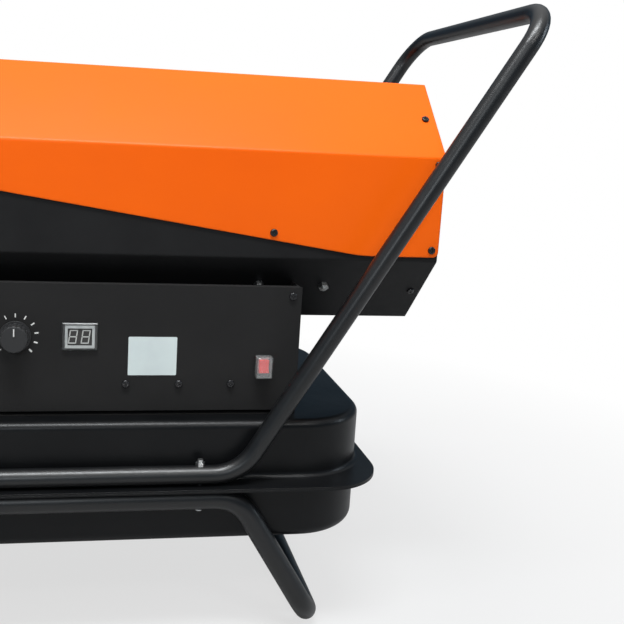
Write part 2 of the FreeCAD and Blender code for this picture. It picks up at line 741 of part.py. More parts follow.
def chamber_cradles():
    """Sheet saddles that carry the shield on the body's floor."""
    base_z = LOWER_BOTTOM_Z + BODY_SHEET
    saddles = []
    for inset in CRADLE_INSETS:
        x0 = FRONT_X + SHIELD_START + inset
        saddle = box(x0, x0 + CRADLE_SHEET, -CRADLE_WIDTH / 2, CRADLE_WIDTH / 2,
                     base_z, base_z + CRADLE_HEIGHT)
        start = AXIS_POINT + X_AXIS * (x0 - 1)
        saddles.append(saddle.cut(rod(SHIELD_R + TOUCH_GAP, start, start + X_AXIS * (CRADLE_SHEET + 2))))
    return saddles


def chamber_supports():
    return group(chamber_pins() + chamber_cradles())


# Burner
def burner_head():
    """Rear plate with a flame cone and slanting swirl vanes."""
    x0 = CHAMBER_REAR_X
    x1 = x0 + BURNER_PLATE_SHEET
    tip = x0 - BURNER_CONE_LENGTH
    bore = NOZZLE_R + TOUCH_GAP
    sheet = BURNER_PLATE_SHEET
    profile = [(x0, BURNER_PLATE_R), (x1, BURNER_PLATE_R), (x1, bore), (x0, bore),
               (tip, BURNER_CONE_R - sheet), (tip, BURNER_CONE_R), (x0, bore + sheet * 2)]
    head = turned(profile, AXIS_POINT, X_AXIS, Z_AXIS)
    vanes = []
    for i in range(SWIRL_VANES):
        vane = box(x0 - SWIRL_VANE_RISE, x0 + sheet / 2, BURNER_CONE_R, BURNER_HOLE_R - 1,
                   -SWIRL_VANE_SHEET / 2, SWIRL_VANE_SHEET / 2)
        vane.translate(AXIS_POINT)
        vane.rotate(AXIS_POINT, X_AXIS, 360 / SWIRL_VANES * i)
        vanes.append(vane)
    head = joined([head] + vanes)
    seats = [(s * ELECTRODE_SPREAD, ELECTRODE_BASE, ELECTRODE_R) for s in (-1, 1)]
    for y, rise, radius in seats + [(0, SENSOR_OFFSET, SENSOR_R)]:
        start = Vector(x0 - BURNER_CONE_LENGTH, y, BODY_AXIS_Z + rise)
        head = head.cut(rod(radius + HOLE_GAP, start, start + X_AXIS * (BURNER_CONE_LENGTH + 9)))
    return head


def nozzle_adapter():
    """Block behind the burner plate that takes the air and fuel hoses."""
    x0 = ADAPTER_X
    x1 = x0 + ADAPTER_THICK
    half = ADAPTER_WIDTH / 2
    low = BODY_AXIS_Z - ADAPTER_DROP
    block = box(x0, x1, -half, half, low, BODY_AXIS_Z + ADAPTER_RISE)
    bore = AXIS_POINT + X_AXIS * (x0 - 1)
    block = block.cut(rod(NOZZLE_R + RUN_GAP, bore, bore + X_AXIS * (ADAPTER_THICK / 2)))
    side = Vector(HOSE_X, half, HOSE_Z)
    fitting = rod(FITTING_R, side, side + Y_AXIS * FITTING_LENGTH)
    return joined([block, fitting])


def fuel_nozzle():
    """Hexagon-shouldered nozzle with a coned tip, seated in the adapter."""
    seat = ADAPTER_X - 1 + ADAPTER_THICK / 2
    tip = seat - NOZZLE_LENGTH
    profile = [(seat, 0), (seat, NOZZLE_R), (tip + NOZZLE_R / 2, NOZZLE_R), (tip, NOZZLE_R / 2), (tip, 0)]
    return turned(profile, AXIS_POINT, X_AXIS, Z_AXIS)


def ignition_electrodes():
    """Two ceramic rods with wire tips that lean in front of the nozzle."""
    rods = []
    for sign in (-1, 1):
        base_x = ADAPTER_X + ADAPTER_THICK + ELECTRODE_TAIL
        base = Vector(base_x, sign * ELECTRODE_SPREAD, BODY_AXIS_Z + ELECTRODE_BASE)
        nose = Vector(CHAMBER_REAR_X - BURNER_CONE_LENGTH, base.y, base.z)
        tip = nose + Vector(-ELECTRODE_TIP, -sign * ELECTRODE_SPREAD * 0.7, -ELECTRODE_BASE * 0.5)
        rods.append(joined([rod(ELECTRODE_R, base, nose), rod(ELECTRODE_WIRE_R, nose + X_AXIS * 2, tip)]))
    return group(rods)


def flame_sensor():
    """Photocell holder that looks through the burner plate."""
    base = Vector(CHAMBER_REAR_X, 0, BODY_AXIS_Z + SENSOR_OFFSET)
    collar_x = CHAMBER_REAR_X + BURNER_PLATE_SHEET
    collar = Vector(collar_x, 0, base.z)
    body = rod(SENSOR_R, base, base + X_AXIS * SENSOR_LENGTH)
    return joined([body, rod(SENSOR_R + 3, collar, collar + X_AXIS * 4)])


def air_hose():
    """From the pump's fitting, past the fan, to the adapter."""
    start_x = MOTOR_REAR_X + PUMP_LENGTH / 2
    points = [Vector(start_x, PUMP_R + FITTING_LENGTH, HOSE_Z), Vector(start_x, AIR_HOSE_Y, HOSE_Z),
              Vector(HOSE_X, AIR_HOSE_Y, HOSE_Z),
              Vector(HOSE_X, ADAPTER_WIDTH / 2 + FITTING_LENGTH, HOSE_Z)]
    return swept_tube(points, [0, HOSE_BEND_R, HOSE_BEND_R, 0], HOSE_R, HOSE_BORE_R)


def fuel_hose():
    start = Vector(HOSE_X, 0, TANK_TOP_Z + PICKUP_FLANGE)
    end = Vector(HOSE_X, 0, BODY_AXIS_Z - ADAPTER_DROP)
    return pipe(HOSE_R, HOSE_BORE_R, start, end)


def ignition_leads():
    """Two leads from the transformer to the electrodes' rear ends."""
    top_z = BODY_AXIS_Z + ELECTRODE_BASE
    base_z = BOX_FLOOR_Z + TRANSFORMER_SIZE[2]
    leads = []
    for sign in (-1, 1):
        y = sign * ELECTRODE_SPREAD
        leads.append(rod(LEAD_R, Vector(LEAD_X, y, base_z), Vector(LEAD_X, y, top_z - ELECTRODE_R - TOUCH_GAP)))
    return group(leads)


# Motor, fan and pump
def motor_bracket():
    """Folded sheet from one sloping wall of the body to the other, under the motor."""
    x0 = REAR_X - MOTOR_BOLT_REAR - MOTOR_BOLT_PITCH - BRACKET_MARGIN
    x1 = REAR_X - MOTOR_BOLT_REAR + BRACKET_MARGIN
    half = BRACKET_SHEET / 2
    top_z = BODY_AXIS_Z - MOTOR_R - MOTOR_FOOT_THICK - half
    inner_sum = SLANT_SUM - (BODY_SHEET + half) * math.sqrt(2)
    pad = BRACKET_PAD / 2 / math.sqrt(2)
    mid_y = inner_sum - (BODY_AXIS_Z - MOTOR_BOLT_Z)
    top_y = MOTOR_FOOT_WIDTH / 2 + half
    bends = [(-mid_y - pad, MOTOR_BOLT_Z + pad), (-mid_y + pad, MOTOR_BOLT_Z - pad), (-top_y, top_z)]
    bends += [(-y, z) for y, z in reversed(bends)]
    pieces = []
    for (y0, z0), (y1, z1) in zip(bends, bends[1:]):
        along = Vector(0, y1 - y0, z1 - z0)
        across = Vector(0, -along.z, along.y).normalize() * half
        start = Vector(x0, y0, z0)
        corners = [start - across, start + along - across, start + along + across, start + across]
        pieces.append(plate(corners, [0] * 4, X_AXIS * (x1 - x0)))
    for y, z in bends[1:-1]:
        pieces.append(rod(half, Vector(x0, y, z), Vector(x1, y, z)))
    return drilled(joined(pieces), motor_bolt_seats(), BOLT_R + HOLE_GAP)


def motor_bolts():
    """Plated bolts through the sloping walls, nut side out."""
    bolts = []
    for seat, axis in motor_bolt_seats():
        inside = seat - axis * (BODY_SHEET + BRACKET_SHEET)
        head = hex_prism(BOLT_NUT_FLATS, inside - axis * BOLT_HEAD, axis * BOLT_HEAD)
        shank = rod(BOLT_R, inside, seat + axis * (BOLT_NUT + BOLT_TAIL / 2))
        nut = hex_prism(BOLT_NUT_FLATS, seat, axis * BOLT_NUT)
        nut = nut.cut(rod(BOLT_R + RUN_GAP, seat - axis, seat + axis * (BOLT_NUT + 1)))
        bolts += [joined([head, shank]), nut]
    return group(bolts)


def on_axis(x):
    return AXIS_POINT + X_AXIS * x


def motor_housing():
    """Round casing with two end walls that hold the bearings, on four feet."""
    shell = rod(MOTOR_R, on_axis(MOTOR_FRONT_X), on_axis(MOTOR_REAR_X))
    hollow = rod(MOTOR_R - MOTOR_WALL, on_axis(MOTOR_FRONT_X + MOTOR_END), on_axis(MOTOR_REAR_X - MOTOR_END))
    base_z = BODY_AXIS_Z - MOTOR_R - MOTOR_FOOT_THICK
    half = MOTOR_FOOT_WIDTH / 2
    feet = []
    for x0 in (MOTOR_FRONT_X, MOTOR_REAR_X - MOTOR_FOOT_LENGTH):
        feet.append(box(x0, x0 + MOTOR_FOOT_LENGTH, -half, half, base_z, base_z + MOTOR_FOOT_THICK))
        feet.append(box(x0, x0 + MOTOR_FOOT_LENGTH, -half / 2, half / 2, base_z, BODY_AXIS_Z - MOTOR_R / 2))
    casing = joined([shell] + feet).cut(hollow)
    casing = casing.cut(rod(BEARING_R, on_axis(MOTOR_FRONT_X - 1), on_axis(MOTOR_REAR_X + 1)))
    bearings = [pipe(BEARING_R - RUN_GAP, SHAFT_R + RUN_GAP, on_axis(x), on_axis(x + MOTOR_END))
                for x in (MOTOR_FRONT_X, MOTOR_REAR_X - MOTOR_END)]
    return group([casing] + bearings)


def motor_stator():
    half = STATOR_LENGTH / 2
    return pipe(MOTOR_R - MOTOR_WALL, STATOR_BORE_R, on_axis(MOTOR_MID_X - half), on_axis(MOTOR_MID_X + half))


def motor_rotor():
    """Rotor core on the shaft that also carries the fan and the pump's rotor."""
    half = STATOR_LENGTH / 2
    front = MOTOR_FRONT_X - FAN_STANDOFF - FAN_HUB_LENGTH
    core = rod(STATOR_BORE_R - ROTOR_AIR_GAP, on_axis(MOTOR_MID_X - half), on_axis(MOTOR_MID_X + half))
    return joined([core, rod(SHAFT_R, on_axis(front), on_axis(PUMP_REAR_X - PUMP_END_GAP))])


def fan():
    """Pressed fan: a hub with pitched blades."""
    rear = MOTOR_FRONT_X - FAN_STANDOFF
    front = rear - FAN_HUB_LENGTH
    mid = (rear + front) / 2
    hub = rod(FAN_HUB_R, on_axis(front), on_axis(rear))
    arc = math.radians(FAN_BLADE_SWEEP)
    root = FAN_HUB_R - FAN_HUB_WALL * 0.7
    blades = []
    for i in range(FAN_BLADES):
        root_half = arc * 0.36 * root
        tip_half = arc * 0.36 * FAN_R
        outline = [Vector(-root_half, root, 0), Vector(root_half, root, 0),
                   Vector(tip_half, FAN_R * 0.93, 0), Vector(-tip_half, FAN_R * 0.93, 0)]
        blade = plate(outline, [0, 0, FAN_HUB_R * 0.6, FAN_HUB_R * 0.6], Z_AXIS * FAN_BLADE_SHEET)
        blade.translate(Z_AXIS * (-FAN_BLADE_SHEET / 2))
        blade.rotate(Vector(0, 0, 0), Y_AXIS, 90 - FAN_BLADE_ANGLE)
        blade.rotate(Vector(0, 0, 0), X_AXIS, 360 / FAN_BLADES * i)
        blade.translate(on_axis(mid))
        blades.append(blade)
    wheel = joined([hub] + blades).common(rod(FAN_R, on_axis(front), on_axis(rear)))
    deep = on_axis(rear - FAN_HUB_WALL)
    wheel = wheel.cut(pipe(FAN_HUB_R - FAN_HUB_WALL, SHAFT_R * 2, on_axis(front - 1), deep))
    return wheel.cut(rod(SHAFT_R + RUN_GAP, on_axis(front - 1), on_axis(rear + 1)))


def pump_housing():
    """Pump ring with an off-centre bore, bolted to the motor's rear wall."""
    ring = rod(PUMP_R, on_axis(MOTOR_REAR_X), on_axis(PUMP_REAR_X))
    shift = Z_AXIS * PUMP_OFFSET
    ring = ring.cut(rod(PUMP_BORE_R, on_axis(MOTOR_REAR_X) + shift, on_axis(PUMP_REAR_X) + shift))
    base = Vector(MOTOR_REAR_X + PUMP_LENGTH / 2, PUMP_BORE_R + 2, HOSE_Z)
    stub = rod(FITTING_R, Vector(base.x, 0, base.z), Vector(base.x, PUMP_R + FITTING_LENGTH, base.z))
    stub = stub.cut(rod(PUMP_BORE_R + 1, on_axis(MOTOR_REAR_X) + shift, on_axis(PUMP_REAR_X) + shift))
    end_plate = rod(PUMP_R, on_axis(PUMP_REAR_X), on_axis(PUMP_REAR_X + PUMP_COVER))
    return group([joined([ring, stub]), end_plate])


def rotor_slot(i, gap):
    """Blade slot of the pump rotor, cut in from its rim, or the blade with a gap."""
    half = PUMP_VANE_THICK / 2 - gap
    slot = box(MOTOR_REAR_X + PUMP_END_GAP, PUMP_REAR_X - PUMP_END_GAP,
               PUMP_ROTOR_R - PUMP_VANE_DEPTH + gap, PUMP_ROTOR_R + 1, -half, half)
    slot.translate(AXIS_POINT)
    slot.rotate(AXIS_POINT, X_AXIS, 360 / PUMP_VANES * i)
    return slot


def rotor_blank():
    return rod(PUMP_ROTOR_R, on_axis(MOTOR_REAR_X + PUMP_END_GAP), on_axis(PUMP_REAR_X - PUMP_END_GAP))


def pump_rotor():
    rotor = rotor_blank()
    for i in range(PUMP_VANES):
        rotor = rotor.cut(rotor_slot(i, 0))
    rotor = rotor.cut(rod(SHAFT_R + RUN_GAP, on_axis(MOTOR_REAR_X - 1), on_axis(PUMP_REAR_X + 1)))
    return group([rotor] + [rotor_slot(i, RUN_GAP).common(rotor_blank()) for i in range(PUMP_VANES)])


def air_filter_cup():
    """Cup over the pump's intake felt."""
    x0 = PUMP_REAR_X + PUMP_COVER
    cup = rod(FILTER_R, on_axis(x0), on_axis(x0 + FILTER_DEPTH))
    rim = [e for e in cup.Edges if e.BoundBox.XMin > x0 + FILTER_DEPTH - 0.01]
    cup = cup.makeFillet(FILTER_WALL * 2, rim)
    return cup.cut(rod(FILTER_R - FILTER_WALL, on_axis(x0 - 1), on_axis(x0 + FILTER_DEPTH - FILTER_WALL)))


# Fuel tank
def tank_block(inset, z0, z1):
    half = TANK_WIDTH / 2 - inset
    return round_box(TANK_FRONT_X + inset, TANK_REAR_X - inset, -half, half, z0, z1, TANK_CORNER_R - inset)


def level_edges(shape, z):
    return [e for e in shape.Edges if abs(e.BoundBox.ZMin - z) < 0.01 and abs(e.BoundBox.ZMax - z) < 0.01]


def tank_half(end_z, edge_r, side):
    """Drawn half of the tank with its flange; side is +1 for the upper half."""
    lip_z = FLANGE_Z + side * FLANGE_SHEET
    outer = tank_block(0, min(FLANGE_Z, end_z), max(FLANGE_Z, end_z))
    outer = outer.makeFillet(edge_r, level_edges(outer, end_z))
    inner_end = end_z - side * TANK_SHEET
    inner = tank_block(TANK_SHEET, min(FLANGE_Z, inner_end), max(FLANGE_Z, inner_end))
    inner = inner.makeFillet(edge_r - TANK_SHEET, level_edges(inner, inner_end))
    half = TANK_WIDTH / 2 + FLANGE_SIDE
    flange = round_box(TANK_FRONT_X - FLANGE_END, TANK_REAR_X + FLANGE_END, -half, half,
                       min(FLANGE_Z, lip_z), max(FLANGE_Z, lip_z), FLANGE_CORNER_R)
    body = joined([outer, flange])
    reach = TANK_WIDTH / 2 + 1
    if side > 0:
        root = [e for e in level_edges(body, lip_z)
                if e.BoundBox.YMax < reach and e.BoundBox.YMin > -reach
                and e.BoundBox.XMax < TANK_REAR_X + 1 and e.BoundBox.XMin > TANK_FRONT_X - 1]
        body = body.makeFillet(FLANGE_FILLET_R, root)
    return body.cut(inner)


def tank_upper():
    half = tank_half(TANK_TOP_Z, TANK_SHOULDER_R, 1)
    for x, y, radius in ((FILLER_X, FILLER_Y, NECK_R + HOLE_GAP), (HOSE_X, 0, PICKUP_R + HOLE_GAP)):
        base = Vector(x, y, TANK_TOP_Z - TANK_SHEET * 3)
        half = half.cut(rod(radius, base, base + Z_AXIS * TANK_SHEET * 5))
    return drill_frame_bolts(half)


def tank_lower():
    half = tank_half(TANK_BOTTOM_Z, TANK_BASE_R, -1)
    seat = drain_seat()
    half = half.cut(rod(DRAIN_R + HOLE_GAP, seat - X_AXIS * TANK_SHEET * 3, seat + X_AXIS))
    return drill_frame_bolts(half)


def filler_neck():
    """Short neck with a collar that lies on the tank."""
    at = Vector(FILLER_X, FILLER_Y, TANK_TOP_Z)
    neck = rod(NECK_R, at - Z_AXIS * NECK_SINK, at + Z_AXIS * NECK_RISE)
    collar = rod(NECK_COLLAR_R, at, at + Z_AXIS * NECK_COLLAR)
    return joined([neck, collar]).cut(rod(NECK_R - NECK_WALL, at - Z_AXIS * NECK_RISE, at + Z_AXIS * NECK_RISE * 2))


def cap_seal():
    at = Vector(FILLER_X, FILLER_Y, NECK_TOP_Z + TOUCH_GAP)
    return pipe(NECK_R + 1, NECK_R - NECK_WALL - 1, at, at + Z_AXIS * SEAL_THICK)


def fuel_cap():
    """Quarter-turn cap with finger grips round its rim."""
    floor_z = TANK_TOP_Z + NECK_COLLAR + CAP_SKIRT_CLEAR
    roof_z = NECK_TOP_Z + TOUCH_GAP + SEAL_THICK + TOUCH_GAP
    at = Vector(FILLER_X, FILLER_Y, 0)
    cap = rod(CAP_R, at + Z_AXIS * floor_z, at + Z_AXIS * (roof_z + CAP_TOP))
    cap = cap.makeFillet(CAP_EDGE_R, level_edges(cap, roof_z + CAP_TOP))
    grips = []
    for i in range(CAP_GRIPS):
        angle = 2 * math.pi * (i + 0.5) / CAP_GRIPS
        spot = at + Vector(math.cos(angle), math.sin(angle), 0) * (CAP_R + CAP_GRIP_R * 0.5)
        grips.append(rod(CAP_GRIP_R, spot + Z_AXIS * (floor_z - 1), spot + Z_AXIS * (roof_z + CAP_TOP + 1)))
    cap = cap.cut(group(grips))
    return cap.cut(rod(NECK_R + 2, at + Z_AXIS * (floor_z - 1), at + Z_AXIS * roof_z))


def fuel_pickup():
    """Suction pipe with a strainer above the tank's floor and a flange on its roof."""
    low = Vector(HOSE_X, 0, TANK_BOTTOM_Z + TANK_SHEET + PICKUP_FLOOR_GAP)
    top = Vector(HOSE_X, 0, TANK_TOP_Z)
    parts = [rod(PICKUP_R, low, top + Z_AXIS * PICKUP_FLANGE),
             rod(STRAINER_R, low, low + Z_AXIS * STRAINER_LENGTH),
             rod(PICKUP_FLANGE_R, top, top + Z_AXIS * PICKUP_FLANGE)]
    return joined(parts).cut(rod(PICKUP_BORE_R, low + Z_AXIS * STRAINER_LENGTH / 2, top + Z_AXIS * PICKUP_FLANGE * 2))


def drain_seat():
    """Low on the tank's rear wall, just above the rounded base."""
    return Vector(TANK_REAR_X, 0, TANK_BOTTOM_Z + TANK_BASE_R + DRAIN_WASHER_R + DRAIN_ABOVE_BASE)


def drain_plug():
    seat = drain_seat()
    washer = seat + X_AXIS * DRAIN_WASHER
    return joined([rod(DRAIN_WASHER_R, seat, washer), rod(DRAIN_R, seat - X_AXIS * TANK_SHEET * 3, washer),
                   hex_prism(DRAIN_R * 2.6, washer, X_AXIS * DRAIN_R)])


# Control box
def body_hollow(gap):
    """Space that the body's lower sheet takes, with a gap all round."""
    return octagon(LOWER_FLATS + 2 * gap, FRONT_X, REAR_X, BODY_BEND_R)


def panel_corner_seats(y, axis):
    xs = (BOX_FRONT_X + PANEL_SCREW_INSET, BOX_REAR_X - PANEL_SCREW_INSET)
    zs = (PANEL_BOTTOM_Z + PANEL_SCREW_INSET, PANEL_TOP_Z - PANEL_SCREW_INSET)
    return [(Vector(x, y, z), axis) for x in xs for z in zs]


def panel_row_seats():
    last_x = BOX_REAR_X - PANEL_ROW_BEHIND
    return [(Vector(last_x - i * PANEL_ROW_PITCH, PANEL_Y, PANEL_ROW_Z), -Y_AXIS)
            for i in range(PANEL_ROW_COUNT)]


def control_box():
    """Folded box that stands on the tank and carries the body in its cut end plates."""
    half = BOX_HALF - BOX_SHEET
    top = PANEL_TOP_Z - BOX_SHEET - TOUCH_GAP
    sheets = [box(BOX_FRONT_X, BOX_REAR_X, -half, half, TANK_TOP_Z, BOX_FLOOR_Z)]
    for x0 in (BOX_FRONT_X, BOX_REAR_X - BOX_SHEET):
        sheets.append(box(x0, x0 + BOX_SHEET, -half, half, TANK_TOP_Z, top))
    sheets.append(box(BOX_FRONT_X, BOX_REAR_X, -half, half, LEDGE_Z - BOX_SHEET, LEDGE_Z))
    for x0 in (BOX_FRONT_X, BOX_REAR_X - TAB_WIDTH):
        for y0 in (-half, half - BOX_SHEET):
            sheets.append(box(x0, x0 + TAB_WIDTH, y0, y0 + BOX_SHEET, TANK_TOP_Z, top))
    shape = joined(sheets).cut(body_hollow(TOUCH_GAP))
    for y, radius in [(0, PICKUP_FLANGE_R)]:
        base = Vector(HOSE_X, y, TANK_TOP_Z - 1)
        shape = shape.cut(rod(radius + HOLE_GAP, base, base + Z_AXIS * 5))
    seats = panel_corner_seats(PANEL_Y, -Y_AXIS) + panel_corner_seats(-PANEL_Y, Y_AXIS)
    return drilled(shape, seats, SCREW_HOLE_R)


def control_panel():
    """Near cover with its cut-outs and a lip along the top."""
    plate_sheet = box(BOX_FRONT_X, BOX_REAR_X, PANEL_Y, PANEL_BACK_Y, PANEL_BOTTOM_Z, PANEL_TOP_Z)
    inset = BOX_SHEET + TOUCH_GAP
    lip = box(BOX_FRONT_X, BOX_REAR_X, PANEL_Y, PANEL_Y + PANEL_LIP, PANEL_TOP_Z - BOX_SHEET, PANEL_TOP_Z)
    ends = [box(x, x + inset, PANEL_BACK_Y, PANEL_Y + PANEL_LIP + 1, PANEL_BOTTOM_Z, PANEL_TOP_Z)
            for x in (BOX_FRONT_X, BOX_REAR_X - inset)]
    panel = joined([plate_sheet, lip.cut(group(ends))])
    collar_x, collar_z = bezel_collar_half()
    gap = TOUCH_GAP
    panel = panel.cut(box(DISPLAY_X - collar_x - gap, DISPLAY_X + collar_x + gap, PANEL_Y - 1, PANEL_BACK_Y + 1,
                          DISPLAY_Z - collar_z - gap, DISPLAY_Z + collar_z + gap))
    body_x, body_z = switch_body_half()
    panel = panel.cut(box(SWITCH_X - body_x - gap, SWITCH_X + body_x + gap, PANEL_Y - 1, PANEL_BACK_Y + 1,
                          SWITCH_Z - body_z - gap, SWITCH_Z + body_z + gap))
    knob = Vector(KNOB_X, PANEL_Y - 1, DISPLAY_Z)
    panel = panel.cut(rod(POT_BUSH_R + HOLE_GAP, knob, knob + Y_AXIS * 5))
    return drilled(panel, panel_corner_seats(PANEL_Y, -Y_AXIS) + panel_row_seats(), SCREW_HOLE_R)


def far_cover():
    """Plain cover on the other side, with louvre slots and the cable gland's hole."""
    cover = box(BOX_FRONT_X, BOX_REAR_X, BOX_HALF - BOX_SHEET, BOX_HALF, PANEL_BOTTOM_Z, PANEL_TOP_Z)
    mid_x = (BOX_FRONT_X + BOX_REAR_X) / 2
    mid_z = (PANEL_BOTTOM_Z + LEDGE_Z) / 2
    for i in range(LOUVRES):
        x = mid_x + (i - (LOUVRES - 1) / 2) * LOUVRE_PITCH
        cover = cover.cut(box(x - LOUVRE_HEIGHT / 2, x + LOUVRE_HEIGHT / 2, BOX_HALF - BOX_SHEET - 1, BOX_HALF + 1,
                              mid_z - LOUVRE_LENGTH / 2, mid_z + LOUVRE_LENGTH / 2))
    gland = Vector(BOX_FRONT_X + GLAND_FROM_FRONT, BOX_HALF - BOX_SHEET - 1, GLAND_Z)
    cover = cover.cut(rod(GLAND_R + HOLE_GAP, gland, gland + Y_AXIS * 5))
    return drilled(cover, panel_corner_seats(-PANEL_Y, Y_AXIS), SCREW_HOLE_R)


def panel_screws():
    seats = panel_corner_seats(PANEL_Y, -Y_AXIS) + panel_corner_seats(-PANEL_Y, Y_AXIS) + panel_row_seats()
    return group([placed(SCREW, point, axis) for point, axis in seats])


def bezel_collar_half():
    return WINDOW_WIDTH / 2 + BEZEL_COLLAR, WINDOW_HEIGHT / 2 + BEZEL_COLLAR


def display_bezel():
    """Clear frame with a collar through the panel."""
    y0 = PANEL_Y - BEZEL_PROUD
    half_x = BEZEL_WIDTH / 2
    half_z = BEZEL_HEIGHT / 2
    frame = box(DISPLAY_X - half_x, DISPLAY_X + half_x, y0, PANEL_Y, DISPLAY_Z - half_z, DISPLAY_Z + half_z)
    front = [e for e in frame.Edges if e.BoundBox.YMax < y0 + 0.01]
    frame = frame.makeChamfer(BEZEL_PROUD * 0.4, front)
    collar_x, collar_z = bezel_collar_half()
    collar = box(DISPLAY_X - collar_x, DISPLAY_X + collar_x, PANEL_Y, PANEL_Y + BEZEL_DEPTH,
                 DISPLAY_Z - collar_z, DISPLAY_Z + collar_z)
    half_x = WINDOW_WIDTH / 2
    half_z = WINDOW_HEIGHT / 2
    window = box(DISPLAY_X - half_x, DISPLAY_X + half_x, y0 - 1, PANEL_Y + BEZEL_DEPTH + 1,
                 DISPLAY_Z - half_z, DISPLAY_Z + half_z)
    return joined([frame, collar]).cut(window)


def module_face_y():
    return PANEL_Y - BEZEL_PROUD + MODULE_SINK


def display_module():
    half_x = WINDOW_WIDTH / 2 - TOUCH_GAP
    half_z = WINDOW_HEIGHT / 2 - TOUCH_GAP
    return box(DISPLAY_X - half_x, DISPLAY_X + half_x, module_face_y(), PANEL_BACK_Y + BOARD_BEHIND,
               DISPLAY_Z - half_z, DISPLAY_Z + half_z)


def board_corners():
    half_x = BEZEL_WIDTH / 2 + BOARD_MARGIN_X - STANDOFF_INSET
    half_z = BEZEL_HEIGHT / 2 + BOARD_MARGIN_Z - STANDOFF_INSET
    return [(DISPLAY_X + sx * half_x, DISPLAY_Z + sz * half_z) for sx in (-1, 1) for sz in (-1, 1)]


def control_board():
    """Circuit board behind the display, on four posts."""
    half_x = BEZEL_WIDTH / 2 + BOARD_MARGIN_X
    half_z = BEZEL_HEIGHT / 2 + BOARD_MARGIN_Z
    y0 = PANEL_BACK_Y + BOARD_BEHIND
    sheet = box(DISPLAY_X - half_x, DISPLAY_X + half_x, y0, y0 + BOARD_SHEET, DISPLAY_Z - half_z, DISPLAY_Z + half_z)
    posts = [rod(STANDOFF_R, Vector(x, PANEL_BACK_Y, z), Vector(x, y0 + BOARD_SHEET / 2, z))
             for x, z in board_corners()]
    return joined([sheet] + posts)


def switch_body_half():
    return (ROCKER_HALF_X + SLIDE_GAP + SWITCH_WALL,
            ROCKER_HALF_Z + ROCKER_HORN * math.sin(math.radians(ROCKER_THROW / 2)) + SLIDE_GAP + SWITCH_WALL)


def switch_body():
    """Switch housing with a flange on the panel and an open well for the rocker."""
    body_x, body_z = switch_body_half()
    flange_x = COVER_HALF_X - COVER_WALL - TOUCH_GAP
    flange_z = COVER_HALF_Z - COVER_WALL - TOUCH_GAP
    flange = box(-flange_x, flange_x, -SWITCH_FLANGE, 0, -flange_z, flange_z)
    body = box(-body_x, body_x, 0, SWITCH_DEPTH, -body_z, body_z)
    well_x = body_x - SWITCH_WALL
    well_z = body_z - SWITCH_WALL
    well = box(-well_x, well_x, -SWITCH_FLANGE - 1, ROCKER_BACK * 3, -well_z, well_z)
    solid = joined([flange, body]).cut(well)
    pin_y = -ROCKER_PIVOT
    solid = solid.cut(rod(ROCKER_PIN_R + RUN_GAP, Vector(-body_x - 1, pin_y, 0), Vector(body_x + 1, pin_y, 0)))
    solid.translate(Vector(SWITCH_X, PANEL_Y, SWITCH_Z))
    return solid


def switch_rocker():
    """Dished rocker on a cross pin, resting with its lower half in."""
    y = -ROCKER_PIVOT
    outline = [(y - ROCKER_VALLEY, 0), (y - ROCKER_HORN, ROCKER_HALF_Z), (y, ROCKER_HALF_Z),
               (y + ROCKER_BACK, ROCKER_HALF_Z / 2), (y + ROCKER_BACK, -ROCKER_HALF_Z / 2),
               (y, -ROCKER_HALF_Z), (y - ROCKER_HORN, -ROCKER_HALF_Z)]
    points = [Vector(-ROCKER_HALF_X, py, pz) for py, pz in outline]
    rocker = plate(points, [6.0, 0.8, 0, 0, 0, 0, 0.8], X_AXIS * 2 * ROCKER_HALF_X)
    reach = switch_body_half()[0] - SWITCH_WALL / 2
    rocker = joined([rocker, rod(ROCKER_PIN_R, Vector(-reach, y, 0), Vector(reach, y, 0))])
    rocker.rotate(Vector(0, y, 0), X_AXIS, -ROCKER_THROW / 2)
    rocker.translate(Vector(SWITCH_X, PANEL_Y, SWITCH_Z))
    return rocker


def switch_cover():
    """Clear splash cover round the rocker."""
    hx, hz = COVER_HALF_X, COVER_HALF_Z
    cover = box(-hx, hx, -COVER_PROUD, 0, -hz, hz)
    rounded = [e for e in cover.Edges if e.BoundBox.YMin < -COVER_PROUD + 0.01]
    cover = cover.makeFillet(COVER_EDGE_R, rounded)
    ix, iz = hx - COVER_WALL, hz - COVER_WALL
    cover = cover.cut(box(-ix, ix, -COVER_PROUD + COVER_WALL, 1, -iz, iz))
    cover.translate(Vector(SWITCH_X, PANEL_Y, SWITCH_Z))
    return cover


def knob_point(out):
    """Point on the thermostat's axis, counted outwards from the panel."""
    return Vector(KNOB_X, PANEL_Y - out, DISPLAY_Z)


def thermostat_pot():
    """Potentiometer behind the panel, held by the nut on its bush."""
    bush = rod(POT_BUSH_R, knob_point(-BOX_SHEET), knob_point(POT_BUSH_PROUD))
    body = rod(POT_R, knob_point(-BOX_SHEET), knob_point(-BOX_SHEET - POT_DEPTH))
    bore = rod(KNOB_STEM_R + RUN_GAP, knob_point(POT_BUSH_PROUD + 1), knob_point(-BOX_SHEET - POT_DEPTH / 2))
    nut = hex_prism(POT_NUT_FLATS, knob_point(0), -Y_AXIS * POT_NUT)
    nut = nut.cut(rod(POT_BUSH_R + RUN_GAP, knob_point(-1), knob_point(POT_NUT + 1)))
    return group([joined([bush, body]).cut(bore), nut])


